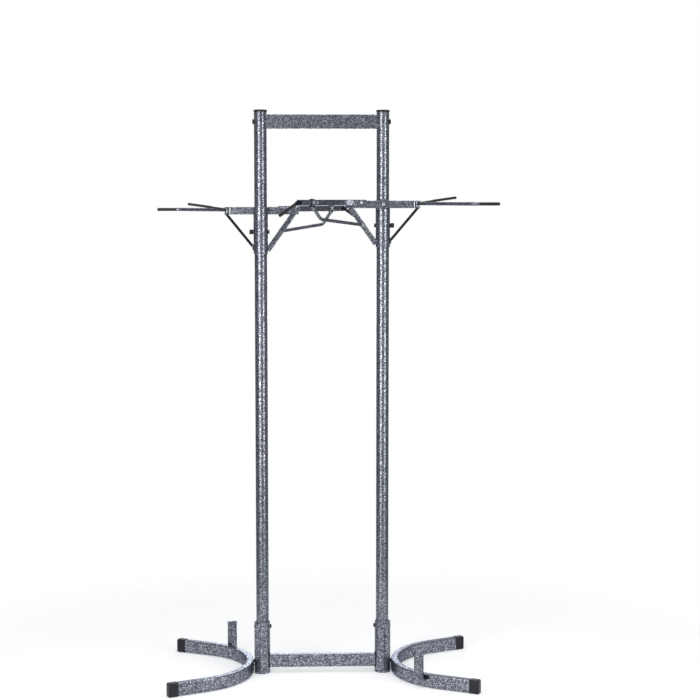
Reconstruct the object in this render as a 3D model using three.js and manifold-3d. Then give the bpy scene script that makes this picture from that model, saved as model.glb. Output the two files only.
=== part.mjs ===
import * as THREE from 'three';
import { mergeVertices } from 'three/addons/utils/BufferGeometryUtils.js';
import Module from 'manifold-3d';

const wasm = await Module();
wasm.setup();

// Rack with two posts side by side, a sliding wheel cradle on each.
// Lengths are in millimetres and angles in degrees. X runs from post to post,
// Z is up and the floor is at zero. The right-hand cradle opens to the -Y side.
// The left-hand half is the right-hand half turned half round about Z.

// Fits
const fit = 0.3; // air between two pieces that seat on each other
const overrun = 6; // how far a cutter runs past what it cuts

// Posts: three tubes each, plugged into one another
const postSpacing = 325;
const postRadius = 16.8;
const postWall = 1.6;
const lowerReach = 413; // showing above the socket
const middleReach = 412;
const upperReach = 546;
const spigotLength = 60;
const postCapRim = 1.6;
const postCapHeight = 5;
const postCapPlug = 18;
const postCapEdge = 1.5;

// Sockets that stand on the floor and take the posts
const socketHeight = 143;
const socketWall = 3;
const socketFloor = 3;

// Rectangular tube of the crossbars and the feet
const topBarHeight = 38;
const baseBarHeight = 35; // of the bottom crossbar and the feet
const barDepth = 19;
const barWall = 2;
const barCorner = 3;
const bottomBarLift = 16; // from the floor
const topBarDrop = 7; // below the top of the posts
const topBarEnd = 26; // solid end that takes the bolt, from the post's axis

// Feet: open loops that widen outwards
const footStandoff = 25.5; // from the post's axis to the foot's outer face
const footBend = 204; // radius of the outer face round the apex
const footFlare = 26; // angle of the straight legs to X
const footLeg = 107; // straight part of each leg
const footCapLength = 26;
const footCapWall = 0.9;
const footCapEnd = 2.5;

// Half-round saddles that join the feet to the sockets
const saddleWall = 2;
const saddleDrop = 2; // below the socket's top
const saddleShoulder = 7; // radius of its two top corners
const saddleStart = 6.5; // where its sides end, from the post's axis
const webWidth = 24;
const webHeight = 24;
const webLift = 8; // from the floor

// Upright wheel stops, each with one corner let into the outside of its foot
const stopWidth = 24.5;
const stopThickness = 12;
const stopLift = 20.5;
const stopHeight = 81;
const stopCorner = 2;
const stopTurn = 48.5; // place round the foot's bend, from the apex
const stopFacing = 29; // angle of its broad face to X
const stopBite = 2; // how far the corner goes into the foot's face
const stopSeatSides = 96;

// Bolts of the frame
const socketBoltHeight = 128;
const socketBoltRadius = 3;
const socketBoltHead = 5.8;
const socketBoltDome = 3.6;
const socketBoltEnd = 0.6; // shows past the saddle
const footBoltHeight = 20;
const footBoltRadius = 4;
const footBoltHead = 7;
const footBoltDome = 4.5;
const footBoltEnd = 8; // from the post's axis
const topBoltRadius = 4;
const topBoltHead = 7;
const topBoltDome = 4;
const topBoltEntry = 16; // thread length past the post

// Wheel cradles that slide on the upper posts
const rightCradleHeight = 1270;
const leftCradleHeight = 1253;
const sleeveWall = 2.2;
const sleeveDrop = 114; // below the crosspiece's middle
const crosspieceLength = 198;
const crosspieceHeight = 20;
const crosspieceDepth = 14;
const crosspieceWall = 2;
const crosspieceCorner = 2;
const crosspieceBed = 1.2; // how deep the sleeve sits in its back
const clevisLength = 18;

// Gate arm: turns on its pintle in the clevis
const pintleInset = 9; // from the crosspiece's end
const pintleRadius = 3;
const barrelRadius = 6.4;
const armRadius = 4.6;
const gateReach = 221; // from the post's axis along X, at the bend
const gateForward = 194; // from the post's axis along Y, at the bend
const gateLift = 2; // of the rod above the crosspiece's middle
const gateBend = 14;
const fingerRadius = 3;
const fingerLength = 54;
const fingerShank = 42; // bare rod inside the coating
const coatWall = 1.1;
const coatOverlap = 4; // air left beyond the shank's end
const gateFingerForward = 4; // how far its tip leads its root

// Handle on the gate arm
const handleRadius = 3.2;
const handleLength = 100;
const handleRise = 8; // angle
const handleLift = 4.2; // root above the crosspiece's middle

// Fixed arm: flat bar screwed to the crosspiece
const barArmHeight = 15;
const barArmThickness = 5;
const barArmLift = 5; // middle above the crosspiece's middle
const barArmLap = 54; // how far it lies along the crosspiece
const barArmCorner = 1;
const fixedReach = 228;
const fixedForward = 194;
const fixedBend = 34;
const fixedFingerOut = 46;
const fixedFingerDrop = 33;

// Braces from the crosspiece down to the sleeve
const rodBraceRadius = 3.6;
const rodBraceInset = 4; // from the crosspiece's end
const barBraceInset = 9;
const rodBraceDrop = 97; // foot, below the crosspiece's middle
const barBraceDrop = 104;
const braceFootWidth = 9;
const braceFootHeight = 15;
const braceFootThickness = 3.5;
const barBraceWidth = 14;
const barBraceThickness = 7;
const barBraceCorner = 2;

// Strut from the fixed arm back to the bar brace
const strutRadius = 4.4;
const strutArmShare = 0.71; // place along the fixed arm's slant
const strutElbowIn = 23; // elbow, from the ring towards the post
const strutElbowDrop = 43;
const strutBraceShare = 0.5; // place down the bar brace
const strutBend = 12;
const ringLength = 10;
const ringWall = 2.6;
const eyeRadius = 7.5;
const eyeThickness = 4;

// Screws of the cradles
const screwRadius = 2.4;
const screwHead = 4.6;
const screwDome = 2.6;
const armScrewInset = 13; // from the fixed arm's inner end
const clampDrop = 56; // clamping screws, below the crosspiece's middle
const clampRadius = 3;
const knobRadius = 6.4;
const knobLength = 10.5;
const knobEdge = 1.2;
const knobSkirt = 2.4; // left round below the grooves
const knobGrooves = 6;
const knobGroove = 1.1; // radius
const setScrewHead = 5.4;
const setScrewLength = 4;

// Rounded ends, as shares of a radius
const headEdgeShare = 0.9; // width of a domed head at half its height
const knobFaceShare = 0.8;
const tipWidthShare = 0.75;
const tipFallShare = 0.35;
const coatMouthShare = 0.85;

// Facets
const roundSides = 24;
const rodSides = 10;
const screwSides = 10;
const hexSides = 6;
const cornerSides = 1;
const footSteps = 30;
const rodSteps = 16;
const barArmSteps = 14;

// Worked out from the sizes above
const postX = postSpacing / 2;
const socketBore = postRadius + fit;
const socketRadius = socketBore + socketWall;
const spigotRadius = postRadius - postWall - fit;
const lowerTop = socketHeight + lowerReach;
const middleTop = lowerTop + middleReach;
const upperTop = middleTop + upperReach;
const topBarZ = upperTop - topBarDrop - topBarHeight / 2;
const bottomBarZ = bottomBarLift + baseBarHeight / 2;
const saddleBore = socketRadius + fit;
const saddleRadius = saddleBore + saddleWall;
const footCentreX = footStandoff + footBend;
const footRadius = footBend - barDepth / 2;
const footZ = footCapWall + fit + baseBarHeight / 2;
const sleeveRadius = postRadius + fit + sleeveWall;
const crosspieceBack = sleeveRadius + fit - crosspieceBed;
const crosspieceY = -(crosspieceBack + crosspieceDepth / 2);
const crosspieceFront = -(crosspieceBack + crosspieceDepth);
const crosspieceEnd = crosspieceLength / 2;
const pintleX = crosspieceEnd - pintleInset;
const barrelHeight = crosspieceHeight - 2 * (crosspieceWall + fit);
const coatRadius = fingerRadius + fit + coatWall;
const barArmStart = crosspieceEnd - barArmLap;
const barArmY = crosspieceFront - fit - barArmThickness / 2;

const steel = { color: 0x4a4f59, roughness: 0.38, metalness: 0.6 };
const plastic = { color: 0x17181a, roughness: 0.5, metalness: 0 };
const vinyl = { color: 0x1b1b1e, roughness: 0.42, metalness: 0 };
const blackSteel = { color: 0x22242a, roughness: 0.42, metalness: 0.6 };
const zinc = { color: 0xb9bcc0, roughness: 0.3, metalness: 0.9 };

const radians = THREE.MathUtils.degToRad;

// Solids

// Leaves only positions and joins the vertices that lie in one place. It is done
// before a shape is moved, while those places are still exactly alike.
function welded(geometry) {
  geometry.deleteAttribute('normal');
  geometry.deleteAttribute('uv');
  return mergeVertices(geometry);
}

function toSolid(geometry) {
  return new wasm.Manifold(new wasm.Mesh({
    numProp: 3,
    vertProperties: new Float32Array(geometry.attributes.position.array),
    triVerts: new Uint32Array(geometry.index.array),
  }));
}

function toGeometry(solid) {
  const mesh = solid.getMesh();
  const geometry = new THREE.BufferGeometry();
  geometry.setAttribute('position', new THREE.BufferAttribute(mesh.vertProperties, mesh.numProp));
  geometry.setIndex(new THREE.BufferAttribute(mesh.triVerts, 1));
  return geometry;
}

// Joins the first geometry with those in `joined`, then takes away those in `cuts`.
function carve(geometry, cuts, joined = []) {
  let solid = toSolid(geometry);
  for (const other of joined) {
    solid = solid.add(toSolid(other));
  }
  for (const cutter of cuts) {
    solid = solid.subtract(toSolid(cutter));
  }
  return toGeometry(solid);
}

function box(width, depth, height, x, y, z) {
  return welded(new THREE.BoxGeometry(width, depth, height)).translate(x, y, z);
}

// Turns a profile of [radius, height] pairs round Z.
function turned(profile, sides = roundSides) {
  const points = profile.map(([radius, height]) => new THREE.Vector2(radius, height));
  return welded(new THREE.LatheGeometry(points, sides)).rotateX(Math.PI / 2);
}

function ring(bore, radius, bottom, top, sides = roundSides) {
  return turned([[bore, bottom], [radius, bottom], [radius, top], [bore, top], [bore, bottom]], sides);
}

function cylinder(radius, bottom, top, sides = roundSides) {
  return turned([[0, bottom], [radius, bottom], [radius, top], [0, top]], sides);
}

// A round bar along X from one x to another.
function barAlongX(radius, from, to, y, z, sides = screwSides) {
  const bar = welded(new THREE.CylinderGeometry(radius, radius, to - from, sides));
  return bar.rotateZ(Math.PI / 2).translate((from + to) / 2, y, z);
}

function barAlongY(radius, from, to, x, z, sides = screwSides) {
  const bar = welded(new THREE.CylinderGeometry(radius, radius, to - from, sides));
  return bar.translate(x, (from + to) / 2, z);
}

function roundedRectangle(width, height, corner) {
  const shape = new THREE.Shape();
  const x = width / 2 - corner;
  const y = height / 2 - corner;
  shape.absarc(x, y, corner, 0, Math.PI / 2);
  shape.absarc(-x, y, corner, Math.PI / 2, Math.PI);
  shape.absarc(-x, -y, corner, Math.PI, 3 * Math.PI / 2);
  shape.absarc(x, -y, corner, 3 * Math.PI / 2, 2 * Math.PI);
  return shape;
}

function rectangle(width, height) {
  const x = width / 2;
  const y = height / 2;
  return new THREE.Shape([[-x, -y], [x, -y], [x, y], [-x, y]].map(([u, v]) => new THREE.Vector2(u, v)));
}

function circle(radius, sides = rodSides) {
  const points = [];
  for (let i = 0; i < sides; i += 1) {
    const turn = 2 * Math.PI * (i + 0.5) / sides;
    points.push(new THREE.Vector2(radius * Math.cos(turn), radius * Math.sin(turn)));
  }
  return new THREE.Shape(points);
}

function swept(shape, path, steps) {
  return welded(new THREE.ExtrudeGeometry(shape, {
    steps, extrudePath: path, curveSegments: cornerSides,
  }));
}

// Extrudes a shape along +Z, with its end edges rounded off by `edge`.
function extruded(shape, depth, edge = 0) {
  const solid = new THREE.ExtrudeGeometry(shape, {
    depth: depth - 2 * edge, bevelEnabled: edge > 0, bevelThickness: edge, bevelSize: edge,
    bevelOffset: -edge, bevelSegments: 2, curveSegments: cornerSides,
  });
  return welded(solid).translate(0, 0, edge);
}

// Extrudes a shape drawn in X and Z through a depth that is centred on y.
function plateAcrossY(shape, depth, y) {
  return extruded(shape, depth).rotateX(Math.PI / 2).translate(0, y + depth / 2, 0);
}

// A path through the corners, each one rounded by a bend that starts `bend` before it.
function bentPath(corners, bend) {
  const path = new THREE.CurvePath();
  let from = corners[0];
  for (let i = 1; i < corners.length - 1; i += 1) {
    const corner = corners[i];
    const before = corner.clone().sub(from).setLength(bend);
    const after = corners[i + 1].clone().sub(corner).setLength(bend);
    const start = corner.clone().sub(before);
    const end = corner.clone().add(after);
    path.add(new THREE.LineCurve3(from, start));
    path.add(new THREE.QuadraticBezierCurve3(start, corner, end));
    from = end;
  }
  path.add(new THREE.LineCurve3(from, corners[corners.length - 1]));
  return path;
}

// Turns what was made along +Z so that it points along `direction`, rooted at `root`.
function aimed(geometry, root, direction) {
  const up = new THREE.Vector3(0, 0, 1);
  const turn = new THREE.Quaternion().setFromUnitVectors(up, direction.clone().normalize());
  return geometry.applyQuaternion(turn).translate(root.x, root.y, root.z);
}

function rodBetween(radius, from, to, sides = rodSides) {
  const direction = to.clone().sub(from);
  const length = direction.length();
  return aimed(cylinder(radius, 0, length, sides), from, direction);
}

// A domed head and its shank, pointing along +Z with the seat of the head at zero.
function domedScrew(head, dome, shank, length) {
  return turned([
    [0, -length], [shank, -length], [shank, 0], [head, 0],
    [head * headEdgeShare, dome / 2], [head / 2, dome], [0, dome],
  ], screwSides);
}

const root = new THREE.Group();

function place(parent, name, geometry, finish) {
  const faceted = geometry.toNonIndexed();
  faceted.computeVertexNormals();
  const mesh = new THREE.Mesh(faceted, new THREE.MeshStandardMaterial(finish));
  mesh.name = name;
  parent.add(mesh);
  return mesh;
}

// Frame: sockets, posts and crossbars

function addSocket(half, side) {
  const cup = turned([
    [0, 0], [socketRadius, 0], [socketRadius, socketHeight], [socketBore, socketHeight],
    [socketBore, socketFloor], [0, socketFloor],
  ]);
  const through = socketRadius + overrun;
  const socket = carve(cup, [
    barAlongX(socketBoltRadius + fit, -through, through, 0, socketBoltHeight),
    barAlongX(footBoltRadius + fit, 0, through, 0, footBoltHeight),
  ]);
  place(half, `socket_${side}`, socket, steel).position.x = postX;
}

function addPost(half, side) {
  const bore = postRadius - postWall;
  const through = postRadius + overrun;
  const lower = carve(ring(bore, postRadius, socketFloor + fit, lowerTop), [
    barAlongX(socketBoltRadius + fit, -through, through, 0, socketBoltHeight),
    barAlongX(footBoltRadius + fit, 0, through, 0, footBoltHeight),
  ]);
  const upper = carve(spigotTube(middleTop, upperTop), [
    barAlongX(topBoltRadius + fit, -through, through, 0, topBarZ),
  ]);
  place(half, `lower_tube_${side}`, lower, steel).position.x = postX;
  place(half, `middle_tube_${side}`, spigotTube(lowerTop, middleTop), steel).position.x = postX;
  place(half, `upper_tube_${side}`, upper, steel).position.x = postX;

  const seat = upperTop + fit;
  const capRadius = postRadius + postCapRim;
  const cap = turned([
    [0, upperTop - postCapPlug], [spigotRadius, upperTop - postCapPlug], [spigotRadius, seat],
    [capRadius, seat], [capRadius, seat + postCapHeight - postCapEdge],
    [capRadius - postCapEdge, seat + postCapHeight], [0, seat + postCapHeight],
  ]);
  place(half, `post_cap_${side}`, cap, plastic).position.x = postX;
}

// A tube whose narrowed lower end plugs into the tube below it.
function spigotTube(bottom, top) {
  const bore = postRadius - postWall;
  const spigotBore = spigotRadius - postWall;
  const seat = bottom + fit;
  const neck = seat + postWall;
  return turned([
    [spigotBore, seat - spigotLength], [spigotRadius, seat - spigotLength], [spigotRadius, seat],
    [postRadius, seat], [postRadius, top], [bore, top], [bore, neck + postWall],
    [spigotBore, neck], [spigotBore, seat - spigotLength],
  ]);
}

// A tube that runs from post to post, its ends hollowed to fit round things.
function crossbar(z, height, endRadius, cavityEnd) {
  const bar = extruded(roundedRectangle(barDepth, height, barCorner), postSpacing);
  bar.rotateX(Math.PI / 2).rotateZ(Math.PI / 2).translate(-postX, 0, z);
  const cuts = [-postX, postX].map((x) => {
    const reach = (height + overrun) / 2;
    return cylinder(endRadius, -reach, reach).translate(x, 0, z);
  });
  const cavity = 2 * (postX - cavityEnd);
  cuts.push(box(cavity, barDepth - 2 * barWall, height - 2 * barWall, 0, 0, z));
  return { bar, cuts };
}

function addCrossbars(parent) {
  const bottom = crossbar(bottomBarZ, baseBarHeight, socketRadius + fit, 0);
  place(parent, 'bottom_crossbar', carve(bottom.bar, bottom.cuts), steel);

  const top = crossbar(topBarZ, topBarHeight, postRadius + fit, topBarEnd);
  top.cuts.push(barAlongX(topBoltRadius + fit, -postX, postX, 0, topBarZ));
  place(parent, 'top_crossbar', carve(top.bar, top.cuts), steel);
}

function addFrameBolts(half, side) {
  const outward = new THREE.Vector3(1, 0, 0);
  const topBolt = aimed(
    domedScrew(topBoltHead, topBoltDome, topBoltRadius, 2 * postRadius + topBoltEntry),
    new THREE.Vector3(postX + postRadius + fit, 0, topBarZ), outward,
  );
  place(half, `top_bolt_${side}`, topBolt, blackSteel);

  const inward = outward.clone().negate();
  const socketSeat = socketRadius + fit;
  const socketBolt = aimed(
    domedScrew(socketBoltHead, socketBoltDome, socketBoltRadius,
      socketSeat + saddleRadius + socketBoltEnd),
    new THREE.Vector3(postX - socketSeat, 0, socketBoltHeight), inward,
  );
  place(half, `socket_bolt_${side}`, socketBolt, blackSteel);

  // The inside of the bend rises from its apex, so the head seats a little proud of it.
  const rise = footBoltHead ** 2 / (2 * (footBend - barDepth));
  const seat = footStandoff + barDepth + 2 * fit + rise;
  const footBolt = aimed(
    domedScrew(footBoltHead, footBoltDome, footBoltRadius, seat - footBoltEnd),
    new THREE.Vector3(postX + seat, 0, footBoltHeight), outward,
  );
  place(half, `foot_bolt_${side}`, footBolt, blackSteel);
}

// Base: feet, end caps, saddles and wheel stops

// The end of a leg: the middle of its end face and the leg's direction in plan.
function legEnd(sign) {
  const swing = radians(90 - footFlare);
  const flare = radians(footFlare);
  const direction = new THREE.Vector3(Math.cos(flare), sign * Math.sin(flare), 0);
  const bendEnd = new THREE.Vector3(
    postX + footCentreX - footRadius * Math.cos(swing), sign * footRadius * Math.sin(swing), footZ,
  );
  return { direction, bendEnd, tip: bendEnd.clone().addScaledVector(direction, footLeg) };
}

class FootBend extends THREE.Curve {
  getPoint(share, target = new THREE.Vector3()) {
    const swing = radians(90 - footFlare);
    const turn = swing * (2 * share - 1);
    const x = postX + footCentreX - footRadius * Math.cos(turn);
    return target.set(x, footRadius * Math.sin(turn), footZ);
  }
}

// The middle of the foot's tube, with each leg longer by `extra`.
function footPath(extra) {
  const rear = legEnd(1);
  const front = legEnd(-1);
  const path = new THREE.CurvePath();
  path.add(new THREE.LineCurve3(
    front.tip.clone().addScaledVector(front.direction, extra), front.bendEnd,
  ));
  path.add(new FootBend());
  path.add(new THREE.LineCurve3(
    rear.bendEnd, rear.tip.clone().addScaledVector(rear.direction, extra),
  ));
  return path;
}

function addFoot(half, side) {
  const tube = swept(roundedRectangle(baseBarHeight, barDepth, barCorner), footPath(0), footSteps);
  const inside = rectangle(baseBarHeight - 2 * barWall, barDepth - 2 * barWall);
  const hole = barAlongX(footBoltRadius + fit, postX, postX + footStandoff + barDepth + overrun,
    0, footBoltHeight);
  place(half, `foot_${side}`, carve(tube, [swept(inside, footPath(overrun), footSteps), hole]), steel);
}

// An end cap that slips over the end of a leg.
function footCap() {
  const grow = 2 * (fit + footCapWall);
  const outline = roundedRectangle(barDepth + grow, baseBarHeight + grow, barCorner + footCapWall);
  const shell = extruded(outline, footCapLength + footCapEnd, footCapEnd / 2);
  const pocket = box(barDepth + 2 * fit, baseBarHeight + 2 * fit, footCapLength, 0, 0,
    footCapLength / 2 + footCapEnd);
  const mouth = box(barDepth + grow + overrun, baseBarHeight + grow + overrun, footCapEnd, 0, 0,
    footCapLength + footCapEnd / 2);
  return carve(shell, [pocket, mouth]);
}

function addFootCaps(half, side) {
  const ends = side === 'right' ? { front: -1, rear: 1 } : { front: 1, rear: -1 };
  for (const [end, sign] of Object.entries(ends)) {
    const leg = legEnd(sign);
    const cap = place(half, `foot_cap_${side}_${end}`, footCap().rotateX(Math.PI / 2), plastic);
    cap.position.copy(leg.tip).addScaledVector(leg.direction, footCapEnd + fit);
    cap.rotation.z = Math.atan2(leg.direction.y, leg.direction.x) - Math.PI / 2;
  }
}

function addSaddle(half, side) {
  const height = socketHeight - saddleDrop;
  const shell = toSolid(ring(saddleBore, saddleRadius, 0, height));
  const outline = new THREE.Shape();
  outline.moveTo(-saddleRadius, 0);
  outline.lineTo(saddleRadius, 0);
  outline.absarc(saddleRadius - saddleShoulder, height - saddleShoulder, saddleShoulder, 0, Math.PI / 2);
  outline.absarc(saddleShoulder - saddleRadius, height - saddleShoulder, saddleShoulder,
    Math.PI / 2, Math.PI);
  const keep = plateAcrossY(outline, saddleRadius, 0).rotateZ(Math.PI / 2)
    .translate(saddleRadius / 2 + saddleStart, 0, 0);
  const halfRing = toGeometry(shell.intersect(toSolid(keep)));
  const webDepth = footStandoff - fit - saddleBore;
  const web = box(webDepth, webWidth, webHeight, saddleBore + webDepth / 2, 0,
    webLift + webHeight / 2);
  const through = footStandoff + overrun;
  const saddle = carve(halfRing, [
    cylinder(saddleBore, -overrun, height + overrun),
    barAlongX(socketBoltRadius + fit, 0, through, 0, socketBoltHeight),
    barAlongX(footBoltRadius + fit, 0, through, 0, footBoltHeight),
  ], [web]);
  place(half, `foot_saddle_${side}`, saddle, steel).position.x = postX;
}

function addWheelStop(half, side) {
  const outline = roundedRectangle(stopWidth, stopThickness, stopCorner);
  const turn = radians(stopTurn);
  const facing = radians(stopFacing);
  const radius = footBend - stopBite;
  const centreX = postX + footCentreX;
  const corner = new THREE.Vector3(stopWidth / 2, stopThickness / 2, 0);
  corner.applyAxisAngle(new THREE.Vector3(0, 0, 1), facing);
  const bar = extruded(outline, stopHeight, stopCorner / 2).rotateZ(facing)
    .translate(centreX - radius * Math.cos(turn) - corner.x, -radius * Math.sin(turn) - corner.y, 0);
  const seat = cylinder(footBend + fit, -overrun, stopHeight + overrun, stopSeatSides)
    .translate(centreX, 0, 0);
  place(half, `wheel_stop_${side}`, carve(bar, [seat]), steel).position.z = stopLift;
}

// Cradle: what slides on the post, in its own frame, with X outwards from the
// post's axis, -Y to the open side and Z from the crosspiece's middle.

function addSleeve(cradle, side) {
  const top = crosspieceHeight / 2;
  const tube = ring(postRadius + fit, sleeveRadius, -sleeveDrop, top);
  const through = sleeveRadius + overrun;
  const sleeve = carve(tube, [
    barAlongX(clampRadius + fit, -through, through, 0, -clampDrop),
    barAlongY(screwRadius + fit, -through, 0, 0, 0),
  ]);
  place(cradle, `cradle_sleeve_${side}`, sleeve, steel);
}

// All that lies above the crosspiece's underside, for trimming what meets it.
function aboveUnderside() {
  return box(crosspieceLength + overrun, crosspieceLength, crosspieceHeight, 0, crosspieceY, -fit);
}

function addCrosspiece(cradle, side) {
  const outline = roundedRectangle(crosspieceDepth, crosspieceHeight, crosspieceCorner);
  const tube = extruded(outline, crosspieceLength);
  tube.rotateX(Math.PI / 2).rotateZ(Math.PI / 2).translate(-crosspieceEnd, crosspieceY, 0);
  const gap = crosspieceHeight - 2 * crosspieceWall;
  const front = crosspieceFront - overrun;
  const crosspiece = carve(tube, [
    box(crosspieceLength + overrun, crosspieceDepth - 2 * crosspieceWall, gap, 0, crosspieceY, 0),
    cylinder(sleeveRadius + fit, -crosspieceHeight, crosspieceHeight),
    box(2 * clevisLength, crosspieceDepth + overrun, gap, crosspieceEnd, crosspieceY, 0),
    cylinder(pintleRadius + fit, -crosspieceHeight, crosspieceHeight, screwSides)
      .translate(pintleX, crosspieceY, 0),
    barAlongY(screwRadius + fit, front, 0, 0, 0),
    barAlongY(screwRadius + fit, front, crosspieceY, -(barArmStart + armScrewInset), barArmLift),
  ]);
  place(cradle, `cradle_crosspiece_${side}`, crosspiece, steel);
}

// The gate arm is made with its pintle at the origin, so that it can be set by turning.
function addGateArm(cradle, side) {
  const start = new THREE.Vector3(0, 0, gateLift);
  const bend = new THREE.Vector3(gateReach - pintleX, -gateForward - crosspieceY, gateLift);
  const finger = new THREE.Vector3(fingerLength, -gateFingerForward, 0);
  const elbow = bend.clone().addScaledVector(finger.clone().normalize(), gateBend);
  const rodEnd = elbow.clone().add(finger.clone().setLength(fit));
  const path = bentPath([start, bend, rodEnd], gateBend);
  const rod = swept(circle(armRadius), path, rodSteps);
  const shankEnd = elbow.clone().add(finger.clone().setLength(fingerShank));
  const shank = rodBetween(fingerRadius, elbow, shankEnd);
  const barrel = cylinder(barrelRadius, -barrelHeight / 2, barrelHeight / 2, screwSides);
  const pin = cylinder(pintleRadius, -crosspieceHeight / 2, crosspieceHeight / 2, screwSides);
  const arm = place(cradle, `gate_arm_${side}`, carve(rod, [], [shank, barrel, pin]), steel);
  arm.position.set(pintleX, crosspieceY, 0);

  const coat = place(cradle, `gate_tip_${side}`, fingerCoat(), vinyl);
  const coatRoot = elbow.clone().add(finger.clone().setLength(2 * fit)).add(arm.position);
  aimMesh(coat, coatRoot, finger);

  const rise = radians(handleRise);
  const along = new THREE.Vector3(Math.cos(rise), 0, Math.sin(rise));
  const grip = turned([
    [0, 0], [handleRadius, 0], [handleRadius, handleLength - handleRadius],
    [handleRadius * tipWidthShare, handleLength - handleRadius * tipFallShare], [0, handleLength],
  ], rodSides);
  const handleRoot = new THREE.Vector3(barrelRadius, 0, handleLift);
  const keepOff = [
    cylinder(barrelRadius + fit, -crosspieceHeight, crosspieceHeight, screwSides),
    swept(circle(armRadius + fit), path, rodSteps),
  ];
  const trimmedGrip = carve(aimed(grip, handleRoot, along), keepOff);
  const handle = place(cradle, `gate_handle_${side}`, trimmedGrip, vinyl);
  handle.position.copy(arm.position);
}

// The coating of a finger: a soft cap along +Z, open at its root.
function fingerCoat() {
  const bore = fingerRadius + fit;
  const hollow = fingerShank + coatOverlap;
  const end = fingerLength;
  return turned([
    [bore, 0], [coatRadius * coatMouthShare, 0], [coatRadius, coatWall],
    [coatRadius, end - coatRadius], [coatRadius * tipWidthShare, end - coatRadius * tipFallShare],
    [0, end], [0, hollow], [bore, hollow], [bore, 0],
  ], rodSides);
}

function aimMesh(mesh, at, direction) {
  const up = new THREE.Vector3(0, 0, 1);
  mesh.quaternion.setFromUnitVectors(up, direction.clone().normalize());
  mesh.position.copy(at);
}

// The fixed arm's route in plan, at the height of its middle.
function fixedArmCorners() {
  return [
    new THREE.Vector3(-barArmStart, barArmY, barArmLift),
    new THREE.Vector3(-crosspieceEnd, barArmY, barArmLift),
    new THREE.Vector3(-fixedReach, -fixedForward, barArmLift),
  ];
}

function addFixedArm(cradle, side) {
  const corners = fixedArmCorners();
  const path = bentPath(corners, fixedBend);
  const bar = swept(roundedRectangle(barArmHeight, barArmThickness, barArmCorner), path, barArmSteps);
  const finger = new THREE.Vector3(-fixedFingerOut, -gateFingerForward, -fixedFingerDrop);
  const along = finger.clone().normalize();
  const tip = corners[2];
  const shankEnd = tip.clone().addScaledVector(along, barArmThickness + fingerShank);
  const hole = barAlongY(screwRadius + fit, crosspieceFront - barArmThickness - overrun, 0,
    -(barArmStart + armScrewInset), barArmLift);
  const arm = carve(bar, [hole], [rodBetween(fingerRadius, tip, shankEnd)]);
  place(cradle, `fixed_arm_${side}`, arm, steel);

  const coat = place(cradle, `fixed_tip_${side}`, fingerCoat(), vinyl);
  aimMesh(coat, tip.clone().addScaledVector(along, barArmThickness + fit), finger);
}

// The ends of a brace: in the crosspiece, and on the side of the sleeve.
function braceEnds(sign, inset, drop) {
  return {
    top: new THREE.Vector3(sign * (crosspieceEnd - inset), crosspieceY, -crosspieceHeight / 4),
    bottom: new THREE.Vector3(sign * sleeveRadius, 0, -drop),
  };
}

function sleeveSpace() {
  return cylinder(sleeveRadius + fit, -sleeveDrop - overrun, 0);
}

function addRodBrace(cradle, side) {
  const { top, bottom } = braceEnds(1, rodBraceInset, rodBraceDrop);
  const rod = rodBetween(rodBraceRadius, top, bottom);
  const foot = box(braceFootThickness + overrun, braceFootWidth, braceFootHeight,
    sleeveRadius + (braceFootThickness - overrun) / 2, 0, -rodBraceDrop);
  const brace = carve(rod, [aboveUnderside(), sleeveSpace()], [foot]);
  place(cradle, `rod_brace_${side}`, brace, steel);
}

// A flat bar that turns its broad face to the front.
function barBraceBody() {
  const { top, bottom } = braceEnds(-1, barBraceInset, barBraceDrop);
  const along = bottom.clone().sub(top);
  const length = along.length();
  along.normalize();
  const through = new THREE.Vector3(0, 1, 0);
  through.addScaledVector(along, -through.dot(along)).normalize();
  const across = along.clone().cross(through);
  const bar = extruded(roundedRectangle(barBraceThickness, barBraceWidth, barBraceCorner), length);
  const turn = new THREE.Matrix4().makeBasis(through, across, along).setPosition(top);
  return bar.applyMatrix4(turn);
}

function strutPoints() {
  const corners = fixedArmCorners();
  const ringAt = corners[1].clone().lerp(corners[2], strutArmShare);
  const { top, bottom } = braceEnds(-1, barBraceInset, barBraceDrop);
  const onBrace = top.clone().lerp(bottom, strutBraceShare);
  const eye = onBrace.clone();
  eye.y -= barBraceThickness / 2 + fit + eyeThickness / 2;
  const share = strutElbowIn / (eye.x - ringAt.x);
  const elbow = new THREE.Vector3(
    ringAt.x + strutElbowIn, ringAt.y + share * (eye.y - ringAt.y), ringAt.z - strutElbowDrop,
  );
  return { ringAt, elbow, eye, onBrace };
}

// Level, and square to the slanted part of the fixed arm on its outer side.
function outOfSlant() {
  const corners = fixedArmCorners();
  const slant = corners[2].clone().sub(corners[1]).normalize();
  return new THREE.Vector3(slant.y, -slant.x, 0);
}

function addBarBrace(cradle, side) {
  const { eye, onBrace } = strutPoints();
  const hole = barAlongY(screwRadius + fit, onBrace.y - barBraceWidth, onBrace.y + barBraceWidth,
    onBrace.x, onBrace.z);
  const seat = box(2 * eyeRadius + overrun, eyeThickness + 2 * fit, 2 * eyeRadius + overrun,
    eye.x, eye.y, eye.z);
  const brace = carve(barBraceBody(), [aboveUnderside(), sleeveSpace(), hole, seat]);
  place(cradle, `bar_brace_${side}`, brace, steel);
}

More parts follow.
